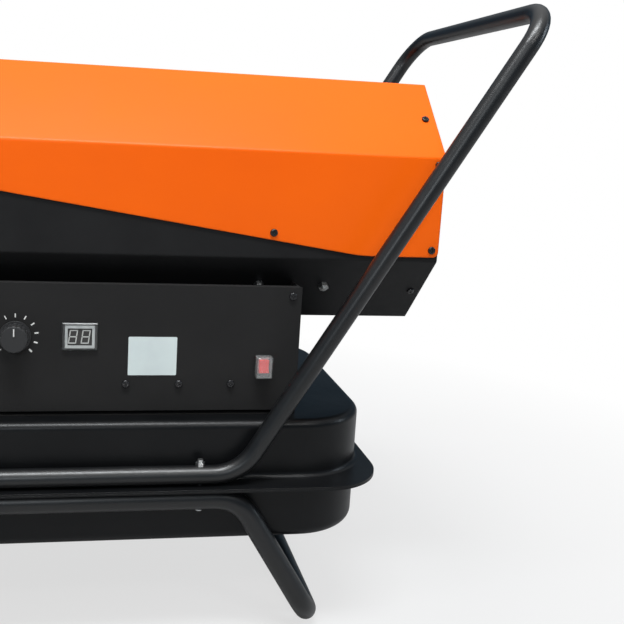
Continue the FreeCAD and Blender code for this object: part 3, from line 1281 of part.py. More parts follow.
def thermostat_knob():
    """Fluted knob on a skirt, with a pointer rib and its stem."""
    base = KNOB_LIFT
    top = KNOB_HEIGHT
    grip = rod(KNOB_R, knob_point(base), knob_point(top))
    rim = [e for e in grip.Edges if e.BoundBox.YMax < PANEL_Y - top + 0.01]
    grip = grip.makeFillet(KNOB_FLUTE_R, rim)
    for i in range(KNOB_FLUTES):
        angle = 2 * math.pi * (i + 0.5) / KNOB_FLUTES
        side = Vector(math.cos(angle), 0, math.sin(angle)) * (KNOB_R + KNOB_FLUTE_R * 0.4)
        grip = grip.cut(rod(KNOB_FLUTE_R, knob_point(base + KNOB_SKIRT) + side, knob_point(top + 1) + side))
    skirt = rod(KNOB_SKIRT_R, knob_point(base), knob_point(base + KNOB_SKIRT))
    knob = joined([grip, skirt])
    well_r = POT_NUT_FLATS / math.sqrt(3) + SLIDE_GAP
    knob = knob.cut(rod(well_r, knob_point(0), knob_point(POT_BUSH_PROUD + SLIDE_GAP)))
    rib = box(KNOB_X - 1, KNOB_X + 1, PANEL_Y - top - 0.6, PANEL_Y - top + 1, DISPLAY_Z + 3, DISPLAY_Z + KNOB_R - 2)
    stem = rod(KNOB_STEM_R, knob_point(POT_BUSH_PROUD + 1), knob_point(-BOX_SHEET - POT_DEPTH / 2 + SLIDE_GAP))
    return joined([knob, rib, stem])


def ignition_transformer():
    """Potted block on the box's floor, set clear of the fuel hose."""
    length, width, height = TRANSFORMER_SIZE
    x0 = HOSE_X - length / 2
    block = box(x0, x0 + length, -width / 2, width / 2, BOX_FLOOR_Z, BOX_FLOOR_Z + height)
    block = block.makeFillet(3.0, level_edges(block, BOX_FLOOR_Z + height))
    slot_r = PICKUP_FLANGE_R + 2
    return block.cut(rod(slot_r, Vector(HOSE_X, 0, BOX_FLOOR_Z - 1), Vector(HOSE_X, 0, BOX_FLOOR_Z + height + 1)))


def cable_gland():
    """Gland with its nut behind the far cover."""
    at = Vector(BOX_FRONT_X + GLAND_FROM_FRONT, BOX_HALF, GLAND_Z)
    inner = at - Y_AXIS * BOX_SHEET
    shank = rod(GLAND_R, inner - Y_AXIS * GLAND_INSIDE, at + Y_AXIS * GLAND_PROUD)
    collar = hex_prism(GLAND_NUT_FLATS, at, Y_AXIS * GLAND_NUT)
    back = hex_prism(GLAND_NUT_FLATS, inner, -Y_AXIS * GLAND_NUT * 0.7)
    return joined([shank, collar, back]).cut(
        rod(GLAND_BORE_R, inner - Y_AXIS * GLAND_INSIDE * 2, at + Y_AXIS * GLAND_PROUD * 2))


# Tube frame and wheels
def frame_bolt_xs():
    return (CORNER_X - BOLT_REAR_AHEAD, FRONT_CORNER_X + BOLT_FRONT_AHEAD)


def drill_frame_bolts(shape):
    z0 = FRAME_RUN_Z - FRAME_D
    z1 = HANDLE_RUN_Z + HANDLE_D
    for x in frame_bolt_xs():
        for y in (-SIDE_TUBE_Y, SIDE_TUBE_Y):
            shape = shape.cut(rod(BOLT_R + HOLE_GAP, Vector(x, y, z0), Vector(x, y, z1)))
    return shape


def handle_path():
    near = [Vector(FRONT_CORNER_X + BOLT_FRONT_AHEAD - HANDLE_FRONT_AHEAD / 2, -SIDE_TUBE_Y, HANDLE_RUN_Z),
            Vector(CORNER_X, -SIDE_TUBE_Y, HANDLE_RUN_Z), Vector(BAR_X, -SIDE_TUBE_Y, HANDLE_BAR_Z)]
    far = [Vector(p.x, -p.y, p.z) for p in reversed(near)]
    return near + far


def handle_tube():
    radii = [0, HANDLE_LOW_R, HANDLE_TOP_R, HANDLE_TOP_R, HANDLE_LOW_R, 0]
    return drill_frame_bolts(swept_tube(handle_path(), radii, HANDLE_D / 2, HANDLE_D / 2 - TUBE_WALL))


def frame_path():
    tail_z = WHEEL_R - AXLE_TAIL
    near = [Vector(FRONT_CORNER_X - LEAN * (FRAME_RUN_Z - tail_z), -SIDE_TUBE_Y, tail_z),
            Vector(FRONT_CORNER_X, -SIDE_TUBE_Y, FRAME_RUN_Z),
            Vector(CORNER_X, -SIDE_TUBE_Y, FRAME_RUN_Z),
            Vector(FOOT_X, -SIDE_TUBE_Y, FRAME_D / 2)]
    far = [Vector(p.x, -p.y, p.z) for p in reversed(near)]
    return near + far


def frame_tube():
    """One bent tube: axle end, side run, leg, foot bar and back again."""
    near = [0, FRAME_BEND_R, FRAME_BEND_R, FOOT_BEND_R]
    tube = swept_tube(frame_path(), near + near[::-1], FRAME_D / 2, FRAME_D / 2 - TUBE_WALL)
    reach = SIDE_TUBE_Y + FRAME_D
    axle = rod(AXLE_R + HOLE_GAP, Vector(AXLE_X, -reach, WHEEL_R), Vector(AXLE_X, reach, WHEEL_R))
    return drill_frame_bolts(tube.cut(axle))


def frame_bolts():
    """Plated bolts through both tubes and the tank's flange."""
    low_z = FRAME_RUN_Z - FRAME_D / 2
    top_z = HANDLE_RUN_Z + HANDLE_D / 2
    pieces = []
    for x in frame_bolt_xs():
        for y in (-SIDE_TUBE_Y, SIDE_TUBE_Y):
            low = Vector(x, y, low_z)
            top = Vector(x, y, top_z)
            head = rod(FRAME_HEAD_R, low - Z_AXIS * FRAME_HEAD, low)
            shank = rod(BOLT_R, low, top + Z_AXIS * (FRAME_NUT + FRAME_NUT_TAIL))
            nut = hex_prism(FRAME_NUT_FLATS, top, Z_AXIS * FRAME_NUT)
            nut = nut.cut(rod(BOLT_R + RUN_GAP, top - Z_AXIS, top + Z_AXIS * (FRAME_NUT + 1)))
            pieces += [joined([head, shank]), nut]
    return group(pieces)


def tube_plugs():
    """Push-in plugs in the four open tube ends."""
    plugs = []
    for path, outer_d in ((handle_path(), HANDLE_D), (frame_path(), FRAME_D)):
        end = path[0]
        out = (path[0] - path[1]).normalize()
        head = rod(outer_d / 2, end, end + out * PLUG_HEAD)
        stem = rod(outer_d / 2 - TUBE_WALL - TOUCH_GAP / 2, end - out * PLUG_STEM, end)
        plug = joined([head, stem])
        reach = SIDE_TUBE_Y * 2
        plugs.append(plug.cut(rod(AXLE_R + HOLE_GAP, Vector(AXLE_X, -reach, WHEEL_R), Vector(AXLE_X, reach, WHEEL_R))))
    return group(both_sides(plugs))


def axle():
    end = WHEEL_IN_Y + HUB_WIDTH + WHEEL_GAP + AXLE_CAP / 2
    return rod(AXLE_R, Vector(AXLE_X, -end, WHEEL_R), Vector(AXLE_X, end, WHEEL_R))


def axle_point(y):
    return Vector(AXLE_X, y, WHEEL_R)


def wheel_washer():
    y0 = SIDE_TUBE_Y + FRAME_D / 2 + TOUCH_GAP
    return pipe(WASHER_R, AXLE_R + RUN_GAP, axle_point(y0), axle_point(y0 + WASHER))


def axle_fittings():
    """Washers inside the wheels and push-on caps outside them."""
    y0 = WHEEL_IN_Y + HUB_WIDTH + WHEEL_GAP
    cap = rod(AXLE_CAP_R, axle_point(y0), axle_point(y0 + AXLE_CAP))
    rim = [e for e in cap.Edges if e.BoundBox.YMin > y0 + AXLE_CAP - 0.01]
    cap = cap.makeFillet(AXLE_CAP * 0.4, rim)
    cap = cap.cut(rod(AXLE_R, axle_point(y0 - 1), axle_point(y0 + AXLE_CAP / 2)))
    return group(both_sides([cap, wheel_washer()]))


def wheel_tyre(side):
    """Solid rubber tyre with rounded shoulders and grooves round its tread."""
    half = WHEEL_WIDTH / 2
    inner = WHEEL_R - TYRE_DEPTH
    ring = pipe(WHEEL_R, inner, axle_point(WHEEL_MID_Y - half), axle_point(WHEEL_MID_Y + half))
    big = [e for e in ring.Edges if e.BoundBox.XLength > 2 * WHEEL_R - 1 and e.BoundBox.YLength < 0.01]
    ring = ring.makeFillet(TYRE_CROWN_R, big)
    for i in range(TREAD_GROOVES):
        y = WHEEL_MID_Y + (i - (TREAD_GROOVES - 1) / 2) * TREAD_PITCH
        ring = ring.cut(pipe(WHEEL_R + TREAD_DEPTH, WHEEL_R - TREAD_DEPTH,
                             axle_point(y - TREAD_WIDTH / 2), axle_point(y + TREAD_WIDTH / 2)))
    return ring if side > 0 else mirrored(ring)


def wheel_rim(side):
    """Moulded wheel: band, pierced web and long hub."""
    half = WHEEL_WIDTH / 2
    outer = WHEEL_R - TYRE_DEPTH
    low = WHEEL_MID_Y - half
    high = WHEEL_MID_Y + half
    band = pipe(outer, outer - RIM_BAND, axle_point(low), axle_point(high))
    web = rod(outer - RIM_BAND / 2, axle_point(WHEEL_MID_Y - RIM_WEB / 2), axle_point(WHEEL_MID_Y + RIM_WEB / 2))
    hub = rod(HUB_R, axle_point(WHEEL_MID_Y - HUB_WIDTH / 2), axle_point(WHEEL_MID_Y + HUB_WIDTH / 2))
    ring_r = (outer - RIM_BAND + HUB_R) / 2
    for i in range(RIM_HOLES):
        angle = 2 * math.pi * i / RIM_HOLES
        at = Vector(math.cos(angle) * ring_r, 0, math.sin(angle) * ring_r)
        web = web.cut(rod(RIM_HOLE_R, axle_point(low) + at, axle_point(high) + at))
    rim = joined([band, web, hub])
    rim = rim.cut(rod(AXLE_R + RUN_GAP, axle_point(WHEEL_IN_Y - 1), axle_point(WHEEL_IN_Y + HUB_WIDTH + 1)))
    return rim if side > 0 else mirrored(rim)


PIECES = {
    "upper_shell": upper_shell, "lower_shell": lower_shell, "rear_end_frame": rear_end_frame,
    "fan_guard": fan_guard, "front_end_frame": front_end_frame, "outlet_ring": outlet_ring,
    "body_screws": body_screws, "heat_shield": heat_shield, "combustion_chamber": combustion_chamber,
    "flame_baffle": flame_baffle, "chamber_supports": chamber_supports, "burner_head": burner_head,
    "nozzle_adapter": nozzle_adapter, "fuel_nozzle": fuel_nozzle, "ignition_electrodes": ignition_electrodes,
    "flame_sensor": flame_sensor, "air_hose": air_hose, "fuel_hose": fuel_hose,
    "ignition_leads": ignition_leads, "motor_bracket": motor_bracket, "motor_bolts": motor_bolts,
    "motor_housing": motor_housing, "motor_stator": motor_stator, "motor_rotor": motor_rotor, "fan": fan,
    "pump_housing": pump_housing, "pump_rotor": pump_rotor, "air_filter_cup": air_filter_cup,
    "tank_upper": tank_upper, "tank_lower": tank_lower, "filler_neck": filler_neck,
    "cap_seal": cap_seal, "fuel_cap": fuel_cap, "fuel_pickup": fuel_pickup, "drain_plug": drain_plug,
    "control_box": control_box, "control_panel": control_panel, "far_cover": far_cover,
    "panel_screws": panel_screws, "display_bezel": display_bezel, "display_module": display_module,
    "control_board": control_board, "switch_body": switch_body, "switch_rocker": switch_rocker,
    "switch_cover": switch_cover, "thermostat_pot": thermostat_pot, "thermostat_knob": thermostat_knob,
    "ignition_transformer": ignition_transformer, "cable_gland": cable_gland,
    "handle_tube": handle_tube, "frame_tube": frame_tube, "frame_bolts": frame_bolts,
    "tube_plugs": tube_plugs, "axle": axle, "axle_fittings": axle_fittings,
    "near_tyre": lambda: wheel_tyre(-1), "near_rim": lambda: wheel_rim(-1),
    "far_tyre": lambda: wheel_tyre(1), "far_rim": lambda: wheel_rim(1),
}

os.makedirs("parts", exist_ok=True)
for name, make in PIECES.items():
    shape = make()
    if not shape.isValid():
        print("not valid:", name)
    shape.exportStep(os.path.join("parts", name + ".step"))
    print(name, len(shape.Solids), round(shape.Volume / 1000, 2))
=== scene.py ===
import json
import math

import bmesh
import bpy
from mathutils import Euler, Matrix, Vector


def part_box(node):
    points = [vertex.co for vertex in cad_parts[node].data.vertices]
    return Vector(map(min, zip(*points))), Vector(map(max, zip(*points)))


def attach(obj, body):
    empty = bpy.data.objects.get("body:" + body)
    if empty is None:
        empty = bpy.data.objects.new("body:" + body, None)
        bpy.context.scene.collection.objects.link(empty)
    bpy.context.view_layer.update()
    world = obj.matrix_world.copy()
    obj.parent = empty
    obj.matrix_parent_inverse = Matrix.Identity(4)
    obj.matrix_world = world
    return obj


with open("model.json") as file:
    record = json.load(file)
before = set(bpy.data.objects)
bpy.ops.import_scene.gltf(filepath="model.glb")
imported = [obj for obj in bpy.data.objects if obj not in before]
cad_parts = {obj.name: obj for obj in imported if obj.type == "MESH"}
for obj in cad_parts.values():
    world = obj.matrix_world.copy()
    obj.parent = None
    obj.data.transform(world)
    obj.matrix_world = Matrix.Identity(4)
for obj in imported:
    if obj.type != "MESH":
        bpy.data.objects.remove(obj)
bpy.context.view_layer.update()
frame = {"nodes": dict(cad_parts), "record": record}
nodes = frame["nodes"]
scene = bpy.context.scene

# Values that the materials share. Lengths are in metres.
NOISE_LOW, NOISE_HIGH = 0.3, 0.7
BEVEL_SAMPLES = 4
FLAT_DOT, EDGE_DOT = 0.995, 0.9
EDGE_WEAR_WIDTH = 0.0003
SOFT_EDGE = 0.0008
GRAIN_DEPTH = 0.0004


# Material building blocks
def new_material(name):
    material = bpy.data.materials.new(name)
    material.use_nodes = True
    tree = material.node_tree
    tree.nodes.clear()
    output = tree.nodes.new("ShaderNodeOutputMaterial")
    shader = tree.nodes.new("ShaderNodeBsdfPrincipled")
    tree.links.new(shader.outputs["BSDF"], output.inputs["Surface"])
    return material, tree, shader


def object_coords(tree):
    return tree.nodes.new("ShaderNodeTexCoord").outputs["Object"]


def noise(tree, coords, scale, detail=3.0, roughness=0.5):
    node = tree.nodes.new("ShaderNodeTexNoise")
    node.inputs["Scale"].default_value = scale
    node.inputs["Detail"].default_value = detail
    node.inputs["Roughness"].default_value = roughness
    tree.links.new(coords, node.inputs["Vector"])
    return node.outputs["Fac"]


def remap(tree, value, low, high, to_low, to_high):
    node = tree.nodes.new("ShaderNodeMapRange")
    tree.links.new(value, node.inputs["Value"])
    for key, number in (("From Min", low), ("From Max", high), ("To Min", to_low), ("To Max", to_high)):
        node.inputs[key].default_value = number
    return node.outputs["Result"]


def spread(tree, value, to_low=0.0, to_high=1.0):
    """Stretch the band that holds most of a noise to the given range."""
    return remap(tree, value, NOISE_LOW, NOISE_HIGH, to_low, to_high)


def mix_colour(tree, factor, first, second):
    node = tree.nodes.new("ShaderNodeMix")
    node.data_type = "RGBA"
    tree.links.new(factor, node.inputs[0])
    for socket, value in ((node.inputs[6], first), (node.inputs[7], second)):
        if isinstance(value, tuple):
            socket.default_value = (*value, 1.0)
        else:
            tree.links.new(value, socket)
    return node.outputs[2]


def math_node(tree, operation, first, second):
    node = tree.nodes.new("ShaderNodeMath")
    node.operation = operation
    for socket, value in zip(node.inputs, (first, second)):
        if isinstance(value, float):
            socket.default_value = value
        else:
            tree.links.new(value, socket)
    return node.outputs[0]


def bump(tree, height, strength, distance, normal=None):
    node = tree.nodes.new("ShaderNodeBump")
    node.inputs["Strength"].default_value = strength
    node.inputs["Distance"].default_value = distance
    tree.links.new(height, node.inputs["Height"])
    if normal is not None:
        tree.links.new(normal, node.inputs["Normal"])
    return node.outputs["Normal"]


def rounded_normal(tree, radius):
    node = tree.nodes.new("ShaderNodeBevel")
    node.samples = BEVEL_SAMPLES
    node.inputs["Radius"].default_value = radius
    return node.outputs["Normal"]


def edge_mask(tree):
    """1 along outer and inner edges, 0 on open faces."""
    soft = rounded_normal(tree, EDGE_WEAR_WIDTH)
    plain = tree.nodes.new("ShaderNodeNewGeometry").outputs["Normal"]
    dot = tree.nodes.new("ShaderNodeVectorMath")
    dot.operation = "DOT_PRODUCT"
    tree.links.new(soft, dot.inputs[0])
    tree.links.new(plain, dot.inputs[1])
    return remap(tree, dot.outputs["Value"], FLAT_DOT, EDGE_DOT, 0.0, 1.0)


WEAR_PATCH_SCALE = 160.0
WEAR_PATCH_BAND = (0.45, 0.7)
WEAR_STRENGTH = 0.5
BLOTCH_PER_DRIFT = 6.0


def finish_material(name, colour, shade, rough, grain=(900.0, 0.08), drift=14.0, metallic=0.0,
                    coat=0.0, coat_rough=0.1, soft_edge=SOFT_EDGE, wear=None, specular=0.5):
    """Solid finish with slight drift, uneven gloss, fine grain and worn edges.

    colour and shade are the tones between which it drifts, rough its lowest and highest roughness,
    grain the scale and strength of its bump, and wear the colour that shows at rubbed edges.
    """
    material, tree, shader = new_material(name)
    coords = object_coords(tree)
    broad = noise(tree, coords, drift, detail=4.0)
    fine = noise(tree, coords, grain[0], detail=2.0)
    base = mix_colour(tree, spread(tree, broad), colour, shade)
    if wear:
        patchy = remap(tree, noise(tree, coords, WEAR_PATCH_SCALE, detail=4.0), *WEAR_PATCH_BAND, 0.0, 1.0)
        mask = math_node(tree, "MULTIPLY", edge_mask(tree), patchy)
        base = mix_colour(tree, math_node(tree, "MULTIPLY", mask, WEAR_STRENGTH), base, wear)
    tree.links.new(base, shader.inputs["Base Color"])
    blotch = noise(tree, coords, drift * BLOTCH_PER_DRIFT)
    tree.links.new(spread(tree, blotch, *rough), shader.inputs["Roughness"])
    normal = rounded_normal(tree, soft_edge) if soft_edge else None
    tree.links.new(bump(tree, fine, grain[1], GRAIN_DEPTH, normal), shader.inputs["Normal"])
    shader.inputs["Metallic"].default_value = metallic
    shader.inputs["Coat Weight"].default_value = coat
    shader.inputs["Coat Roughness"].default_value = coat_rough
    shader.inputs["Specular IOR Level"].default_value = specular
    return material


CLEAR_TRANSMISSION = 0.92
ACRYLIC_IOR = 1.49
SMEAR_SCALE = 220.0
RIPPLE_SCALE = 700.0
RIPPLE_STRENGTH = 0.05
RIPPLE_DEPTH = 0.0003


def clear_plastic(name, tint, rough):
    """Moulded acrylic with faint smears and ripples."""
    material, tree, shader = new_material(name)
    coords = object_coords(tree)
    shader.inputs["Base Color"].default_value = (*tint, 1.0)
    shader.inputs["Transmission Weight"].default_value = CLEAR_TRANSMISSION
    shader.inputs["IOR"].default_value = ACRYLIC_IOR
    smear = noise(tree, coords, SMEAR_SCALE)
    tree.links.new(spread(tree, smear, *rough), shader.inputs["Roughness"])
    ripple = noise(tree, coords, RIPPLE_SCALE, detail=2.0)
    tree.links.new(bump(tree, ripple, RIPPLE_STRENGTH, RIPPLE_DEPTH), shader.inputs["Normal"])
    return material


ORANGE = (0.88, 0.125, 0.004)
ORANGE_SHADE = (0.84, 0.113, 0.0035)
ORANGE_SPECK = (0.62, 0.06, 0.004)
# Paler orange for the edges: partly rubbed paint, partly a painted highlight along the edges and bends.
ORANGE_WEAR_AND_HIGHLIGHT = (0.95, 0.30, 0.08)
ORANGE_ROUGH = (0.29, 0.33)
ORANGE_SPECULAR = 0.14
ORANGE_DRIFT_SCALE = 6.0
ORANGE_ROUGH_SCALE = 12.0
SPECK_SCALE = 1400.0
SPECK_BAND = (0.66, 0.74)
SPECK_STRENGTH = 0.12
# Patches along the edges where the paler orange shows, as wear and painted highlight.
WEAR_AND_HIGHLIGHT_SCALE = 120.0
WEAR_AND_HIGHLIGHT_BAND = (0.5, 0.72)
WEAR_AND_HIGHLIGHT_STRENGTH = 0.4
PEEL_SCALE = 420.0
PEEL_STRENGTH = 0.10
PEEL_DEPTH = 0.0005
FOLD_RADIUS = 0.0022


def orange_paint():
    """Glossy powder coat: orange peel, faint dark specks, edges paler in patches as wear and painted
    highlight, and soft sheet folds.
    """
    material, tree, shader = new_material("orange_powder_coat")
    coords = object_coords(tree)
    broad = spread(tree, noise(tree, coords, ORANGE_DRIFT_SCALE))
    base = mix_colour(tree, broad, ORANGE, ORANGE_SHADE)
    dust = noise(tree, coords, SPECK_SCALE, detail=2.0, roughness=0.7)
    base = mix_colour(tree, remap(tree, dust, *SPECK_BAND, 0.0, SPECK_STRENGTH), base, ORANGE_SPECK)
    # Edges turn paler orange in patches: partly wear, partly a painted highlight along the edges and sheet
    # bends.
    patchy = remap(tree, noise(tree, coords, WEAR_AND_HIGHLIGHT_SCALE, detail=4.0), *WEAR_AND_HIGHLIGHT_BAND, 0.0, WEAR_AND_HIGHLIGHT_STRENGTH)
    base = mix_colour(tree, math_node(tree, "MULTIPLY", edge_mask(tree), patchy), base, ORANGE_WEAR_AND_HIGHLIGHT)
    tree.links.new(base, shader.inputs["Base Color"])
    cloud = noise(tree, coords, ORANGE_ROUGH_SCALE, detail=2.0)
    tree.links.new(spread(tree, cloud, *ORANGE_ROUGH), shader.inputs["Roughness"])
    peel = noise(tree, coords, PEEL_SCALE, detail=2.0)
    normal = bump(tree, peel, PEEL_STRENGTH, PEEL_DEPTH, rounded_normal(tree, FOLD_RADIUS))
    tree.links.new(normal, shader.inputs["Normal"])
    shader.inputs["Specular IOR Level"].default_value = ORANGE_SPECULAR
    return material


STRAW_STEEL = (0.36, 0.30, 0.24)
BLUED_STEEL = (0.20, 0.18, 0.20)
SOOT = (0.06, 0.055, 0.05)
STAIN_SCALE = 9.0
STAIN_BAND = (0.35, 0.65)
SOOT_SCALE = 28.0
SOOT_BAND = (0.5, 0.75)
SOOT_STRENGTH = 0.6
STAINED_ROUGH = (0.38, 0.6)
STAINED_METALLIC = 0.9
SCALE_GRAIN = (500.0, 0.12)


def heat_steel():
    """Bare steel with straw and blue heat stains, soot and a grain of scale."""
    material, tree, shader = new_material("heat_stained_steel")
    coords = object_coords(tree)
    stain = remap(tree, noise(tree, coords, STAIN_SCALE, detail=5.0), *STAIN_BAND, 0.0, 1.0)
    steel = mix_colour(tree, stain, STRAW_STEEL, BLUED_STEEL)
    soot = remap(tree, noise(tree, coords, SOOT_SCALE, detail=5.0), *SOOT_BAND, 0.0, SOOT_STRENGTH)
    tree.links.new(mix_colour(tree, soot, steel, SOOT), shader.inputs["Base Color"])
    tree.links.new(remap(tree, stain, 0.0, 1.0, *STAINED_ROUGH), shader.inputs["Roughness"])
    grain = noise(tree, coords, SCALE_GRAIN[0])
    tree.links.new(bump(tree, grain, SCALE_GRAIN[1], GRAIN_DEPTH), shader.inputs["Normal"])
    shader.inputs["Metallic"].default_value = STAINED_METALLIC
    return material


# One finish for each material slot of the record
SLOTS = {
    "orange_paint": orange_paint(),
    "black_paint": finish_material(
        "black_powder_coat", (0.0115, 0.0115, 0.0120), (0.0155, 0.0155, 0.0160), (0.45, 0.50),
        grain=(1300.0, 0.22), wear=(0.05, 0.05, 0.052), specular=0.10),
    "black_screw": finish_material(
        "black_oxide", (0.007, 0.007, 0.008), (0.015, 0.015, 0.016), (0.14, 0.24),
        grain=(2200.0, 0.06), coat=0.35, coat_rough=0.07, wear=(0.12, 0.12, 0.12),
        soft_edge=0.0006, specular=0.25),
    "heat_steel": heat_steel(),
    "plated_steel": finish_material(
        "zinc_plate", (0.62, 0.62, 0.60), (0.50, 0.51, 0.52), (0.24, 0.42),
        grain=(1600.0, 0.1), drift=90.0, metallic=1.0, soft_edge=0.0004),
    "brass": finish_material(
        "machined_brass", (0.64, 0.42, 0.15), (0.52, 0.33, 0.11), (0.25, 0.4),
        grain=(1800.0, 0.1), drift=60.0, metallic=1.0),
    "ceramic": finish_material(
        "glazed_ceramic", (0.80, 0.78, 0.72), (0.74, 0.71, 0.64), (0.12, 0.25),
        grain=(600.0, 0.06), coat=0.4),
    "black_plastic": finish_material(
        "moulded_black", (0.014, 0.014, 0.014), (0.019, 0.019, 0.020), (0.42, 0.55),
        grain=(1800.0, 0.25), soft_edge=0.0004),
    "hose_rubber": finish_material(
        "hose_rubber", (0.014, 0.014, 0.014), (0.022, 0.022, 0.021), (0.55, 0.7),
        grain=(1500.0, 0.25), soft_edge=0.0),
    "cast_aluminium": finish_material(
        "cast_aluminium", (0.50, 0.50, 0.50), (0.42, 0.42, 0.43), (0.4, 0.58),
        grain=(700.0, 0.35), drift=40.0, metallic=1.0),
    "core_steel": finish_material(
        "core_steel", (0.22, 0.22, 0.23), (0.16, 0.16, 0.17), (0.4, 0.55),
        grain=(1000.0, 0.2), metallic=1.0),
    "fan_alloy": finish_material(
        "fan_alloy", (0.60, 0.60, 0.61), (0.50, 0.51, 0.52), (0.3, 0.45),
        grain=(1200.0, 0.12), metallic=1.0),
    "graphite": finish_material(
        "graphite", (0.04, 0.04, 0.042), (0.06, 0.06, 0.062), (0.35, 0.5), metallic=0.3),
    "clear_plastic": clear_plastic("clear_plastic", (0.93, 0.95, 0.95), (0.14, 0.24)),
    "board_green": finish_material(
        "board_green", (0.012, 0.10, 0.04), (0.010, 0.085, 0.034), (0.3, 0.4)),
    "red_plastic": finish_material(
        "red_plastic", (0.90, 0.016, 0.013), (0.84, 0.012, 0.010), (0.3, 0.42),
        grain=(900.0, 0.06), soft_edge=0.0003, specular=0.2),
    "tyre_rubber": finish_material(
        "tyre_rubber", (0.016, 0.016, 0.016), (0.026, 0.026, 0.025), (0.6, 0.8),
        grain=(1100.0, 0.4), drift=30.0),
    "grey_plastic": finish_material(
        "wheel_plastic", (0.020, 0.020, 0.021), (0.028, 0.028, 0.029), (0.4, 0.52),
        grain=(1600.0, 0.2)),
}

# Finishes of single nodes and of the pieces on the panel
TUBE_BLACK = finish_material(
    "tube_black", (0.0040, 0.0043, 0.0048), (0.0060, 0.0063, 0.0068), (0.34, 0.38),
    grain=(1200.0, 0.08), soft_edge=0.0)
TANK_BLACK = finish_material(
    "tank_black", (0.0034, 0.0037, 0.0042), (0.0050, 0.0053, 0.0058), (0.32, 0.36),
    grain=(1000.0, 0.10), specular=0.20)
PANEL_BLACK = finish_material(
    "panel_black", (0.0165, 0.0162, 0.0162), (0.0200, 0.0195, 0.0195), (0.53, 0.58),
    grain=(1700.0, 0.3), specular=0.1)
DISPLAY_BLACK = finish_material(
    "display_smoke", (0.042, 0.041, 0.040), (0.050, 0.049, 0.048), (0.16, 0.26),
    grain=(500.0, 0.03), soft_edge=0.0, specular=0.2)
SEGMENT_PALE = finish_material(
    "segment_pale", (0.50, 0.50, 0.48), (0.42, 0.43, 0.42), (0.3, 0.4),
    grain=(800.0, 0.03), soft_edge=0.0, specular=0.2)
SURROUND_SILVER = finish_material(
    "surround_silver", (0.46, 0.48, 0.47), (0.34, 0.36, 0.36), (0.3, 0.45),
    grain=(1400.0, 0.1), drift=120.0, soft_edge=0.0, specular=0.3)
LABEL_PALE = finish_material(
    "label_pale", (0.63, 0.71, 0.70), (0.58, 0.65, 0.65), (0.34, 0.48),
    grain=(900.0, 0.06), drift=40.0, soft_edge=0.0, specular=0.2)
WINDOW_CLEAR = clear_plastic("window_clear", (0.60, 0.62, 0.62), (0.28, 0.38))
TICK_WHITE = finish_material(
    "tick_white", (0.72, 0.72, 0.70), (0.62, 0.62, 0.60), (0.5, 0.6), soft_edge=0.0)

OWN_FINISH = {"handle_tube": TUBE_BLACK, "frame_tube": TUBE_BLACK, "tank_upper": TANK_BLACK,
              "tank_lower": TANK_BLACK, "control_panel": PANEL_BLACK, "far_cover": PANEL_BLACK,
              "control_box": PANEL_BLACK, "display_module": DISPLAY_BLACK, "display_bezel": WINDOW_CLEAR}

for entry in frame["record"]["subparts"]:
    node = nodes[entry["node"]]
    material = OWN_FINISH.get(entry["node"], SLOTS[entry["material_slot"]])
    node.data.materials.clear()
    node.data.materials.append(material)


# Small pieces on the panel
def add_piece(name, build, material, body):
    mesh = bpy.data.meshes.new(name)
    shape = bmesh.new()
    build(shape)
    bmesh.ops.recalc_face_normals(shape, faces=shape.faces)
    shape.to_mesh(mesh)
    shape.free()
    piece = bpy.data.objects.new(name, mesh)
    scene.collection.objects.link(piece)
    mesh.materials.append(material)
    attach(piece, body)


def box_middle(low, high):
    """Middle of a box as (x, z), seen from the panel's side."""
    return (low.x + high.x) / 2, (low.z + high.z) / 2


def slab(shape, outline, y_face, proud):
    """Flat plate on a -Y face from an (x, z) outline."""
    front = [shape.verts.new((x, y_face - proud, z)) for x, z in outline]
    back = [shape.verts.new((x, y_face, z)) for x, z in outline]
    shape.faces.new(front)
    shape.faces.new(back[::-1])
    count = len(outline)
    for i in range(count):
        j = (i + 1) % count
        shape.faces.new((front[i], front[j], back[j], back[i]))


def rounded_rectangle(cx, cz, half_x, half_z, radius, steps):
    points = []
    for sx, sz, start in ((1, 1, 0), (-1, 1, 90), (-1, -1, 180), (1, -1, 270)):
        for k in range(steps + 1):
            angle = math.radians(start + 90 * k / steps)
            points.append((cx + sx * (half_x - radius) + radius * math.cos(angle),
                           cz + sz * (half_z - radius) + radius * math.sin(angle)))
    return points


PANEL_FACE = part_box("control_panel")[0].y
LABEL_CENTRE = (0.0366, 0.3030)
LABEL_HALF = (0.0255, 0.0208)
LABEL_CORNER_R = 0.0012
LABEL_CORNER_STEPS = 6
LABEL_SHEET = 0.00025


def build_label(shape):
    outline = rounded_rectangle(*LABEL_CENTRE, *LABEL_HALF, LABEL_CORNER_R, LABEL_CORNER_STEPS)
    slab(shape, outline, PANEL_FACE, LABEL_SHEET)


add_piece("blank_label", build_label, LABEL_PALE, "chassis")

module_low, module_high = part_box("display_module")
SEGMENT_PROUD = 0.0002
DIGIT_HALF = (0.0042, 0.0073)
DIGIT_PITCH = 0.0129
DIGIT_OFFSET = -0.0006
STROKE = 0.0012
SLANT = math.tan(math.radians(8.0))
SEGMENT_GAP = 0.00012


def segment_outlines():
    """The seven segments of an upright figure about its middle, mitred at their ends."""
    wide, tall = DIGIT_HALF
    inner, half = wide - STROKE, STROKE / 2
    flat = [(-wide, tall), (wide, tall), (inner, tall - STROKE), (-inner, tall - STROKE)]
    upright = [(-wide, tall), (-inner, tall - STROKE), (-inner, half), (-wide, 0.0)]
    centre = [(-wide + half, 0.0), (-inner, half), (inner, half),
              (wide - half, 0.0), (inner, -half), (-inner, -half)]
    outlines = [centre]
    for outline, flips in ((flat, ((1, 1), (1, -1))), (upright, ((1, 1), (1, -1), (-1, 1), (-1, -1)))):
        for flip_x, flip_z in flips:
            outlines.append([(x * flip_x, z * flip_z) for x, z in outline])
    return outlines


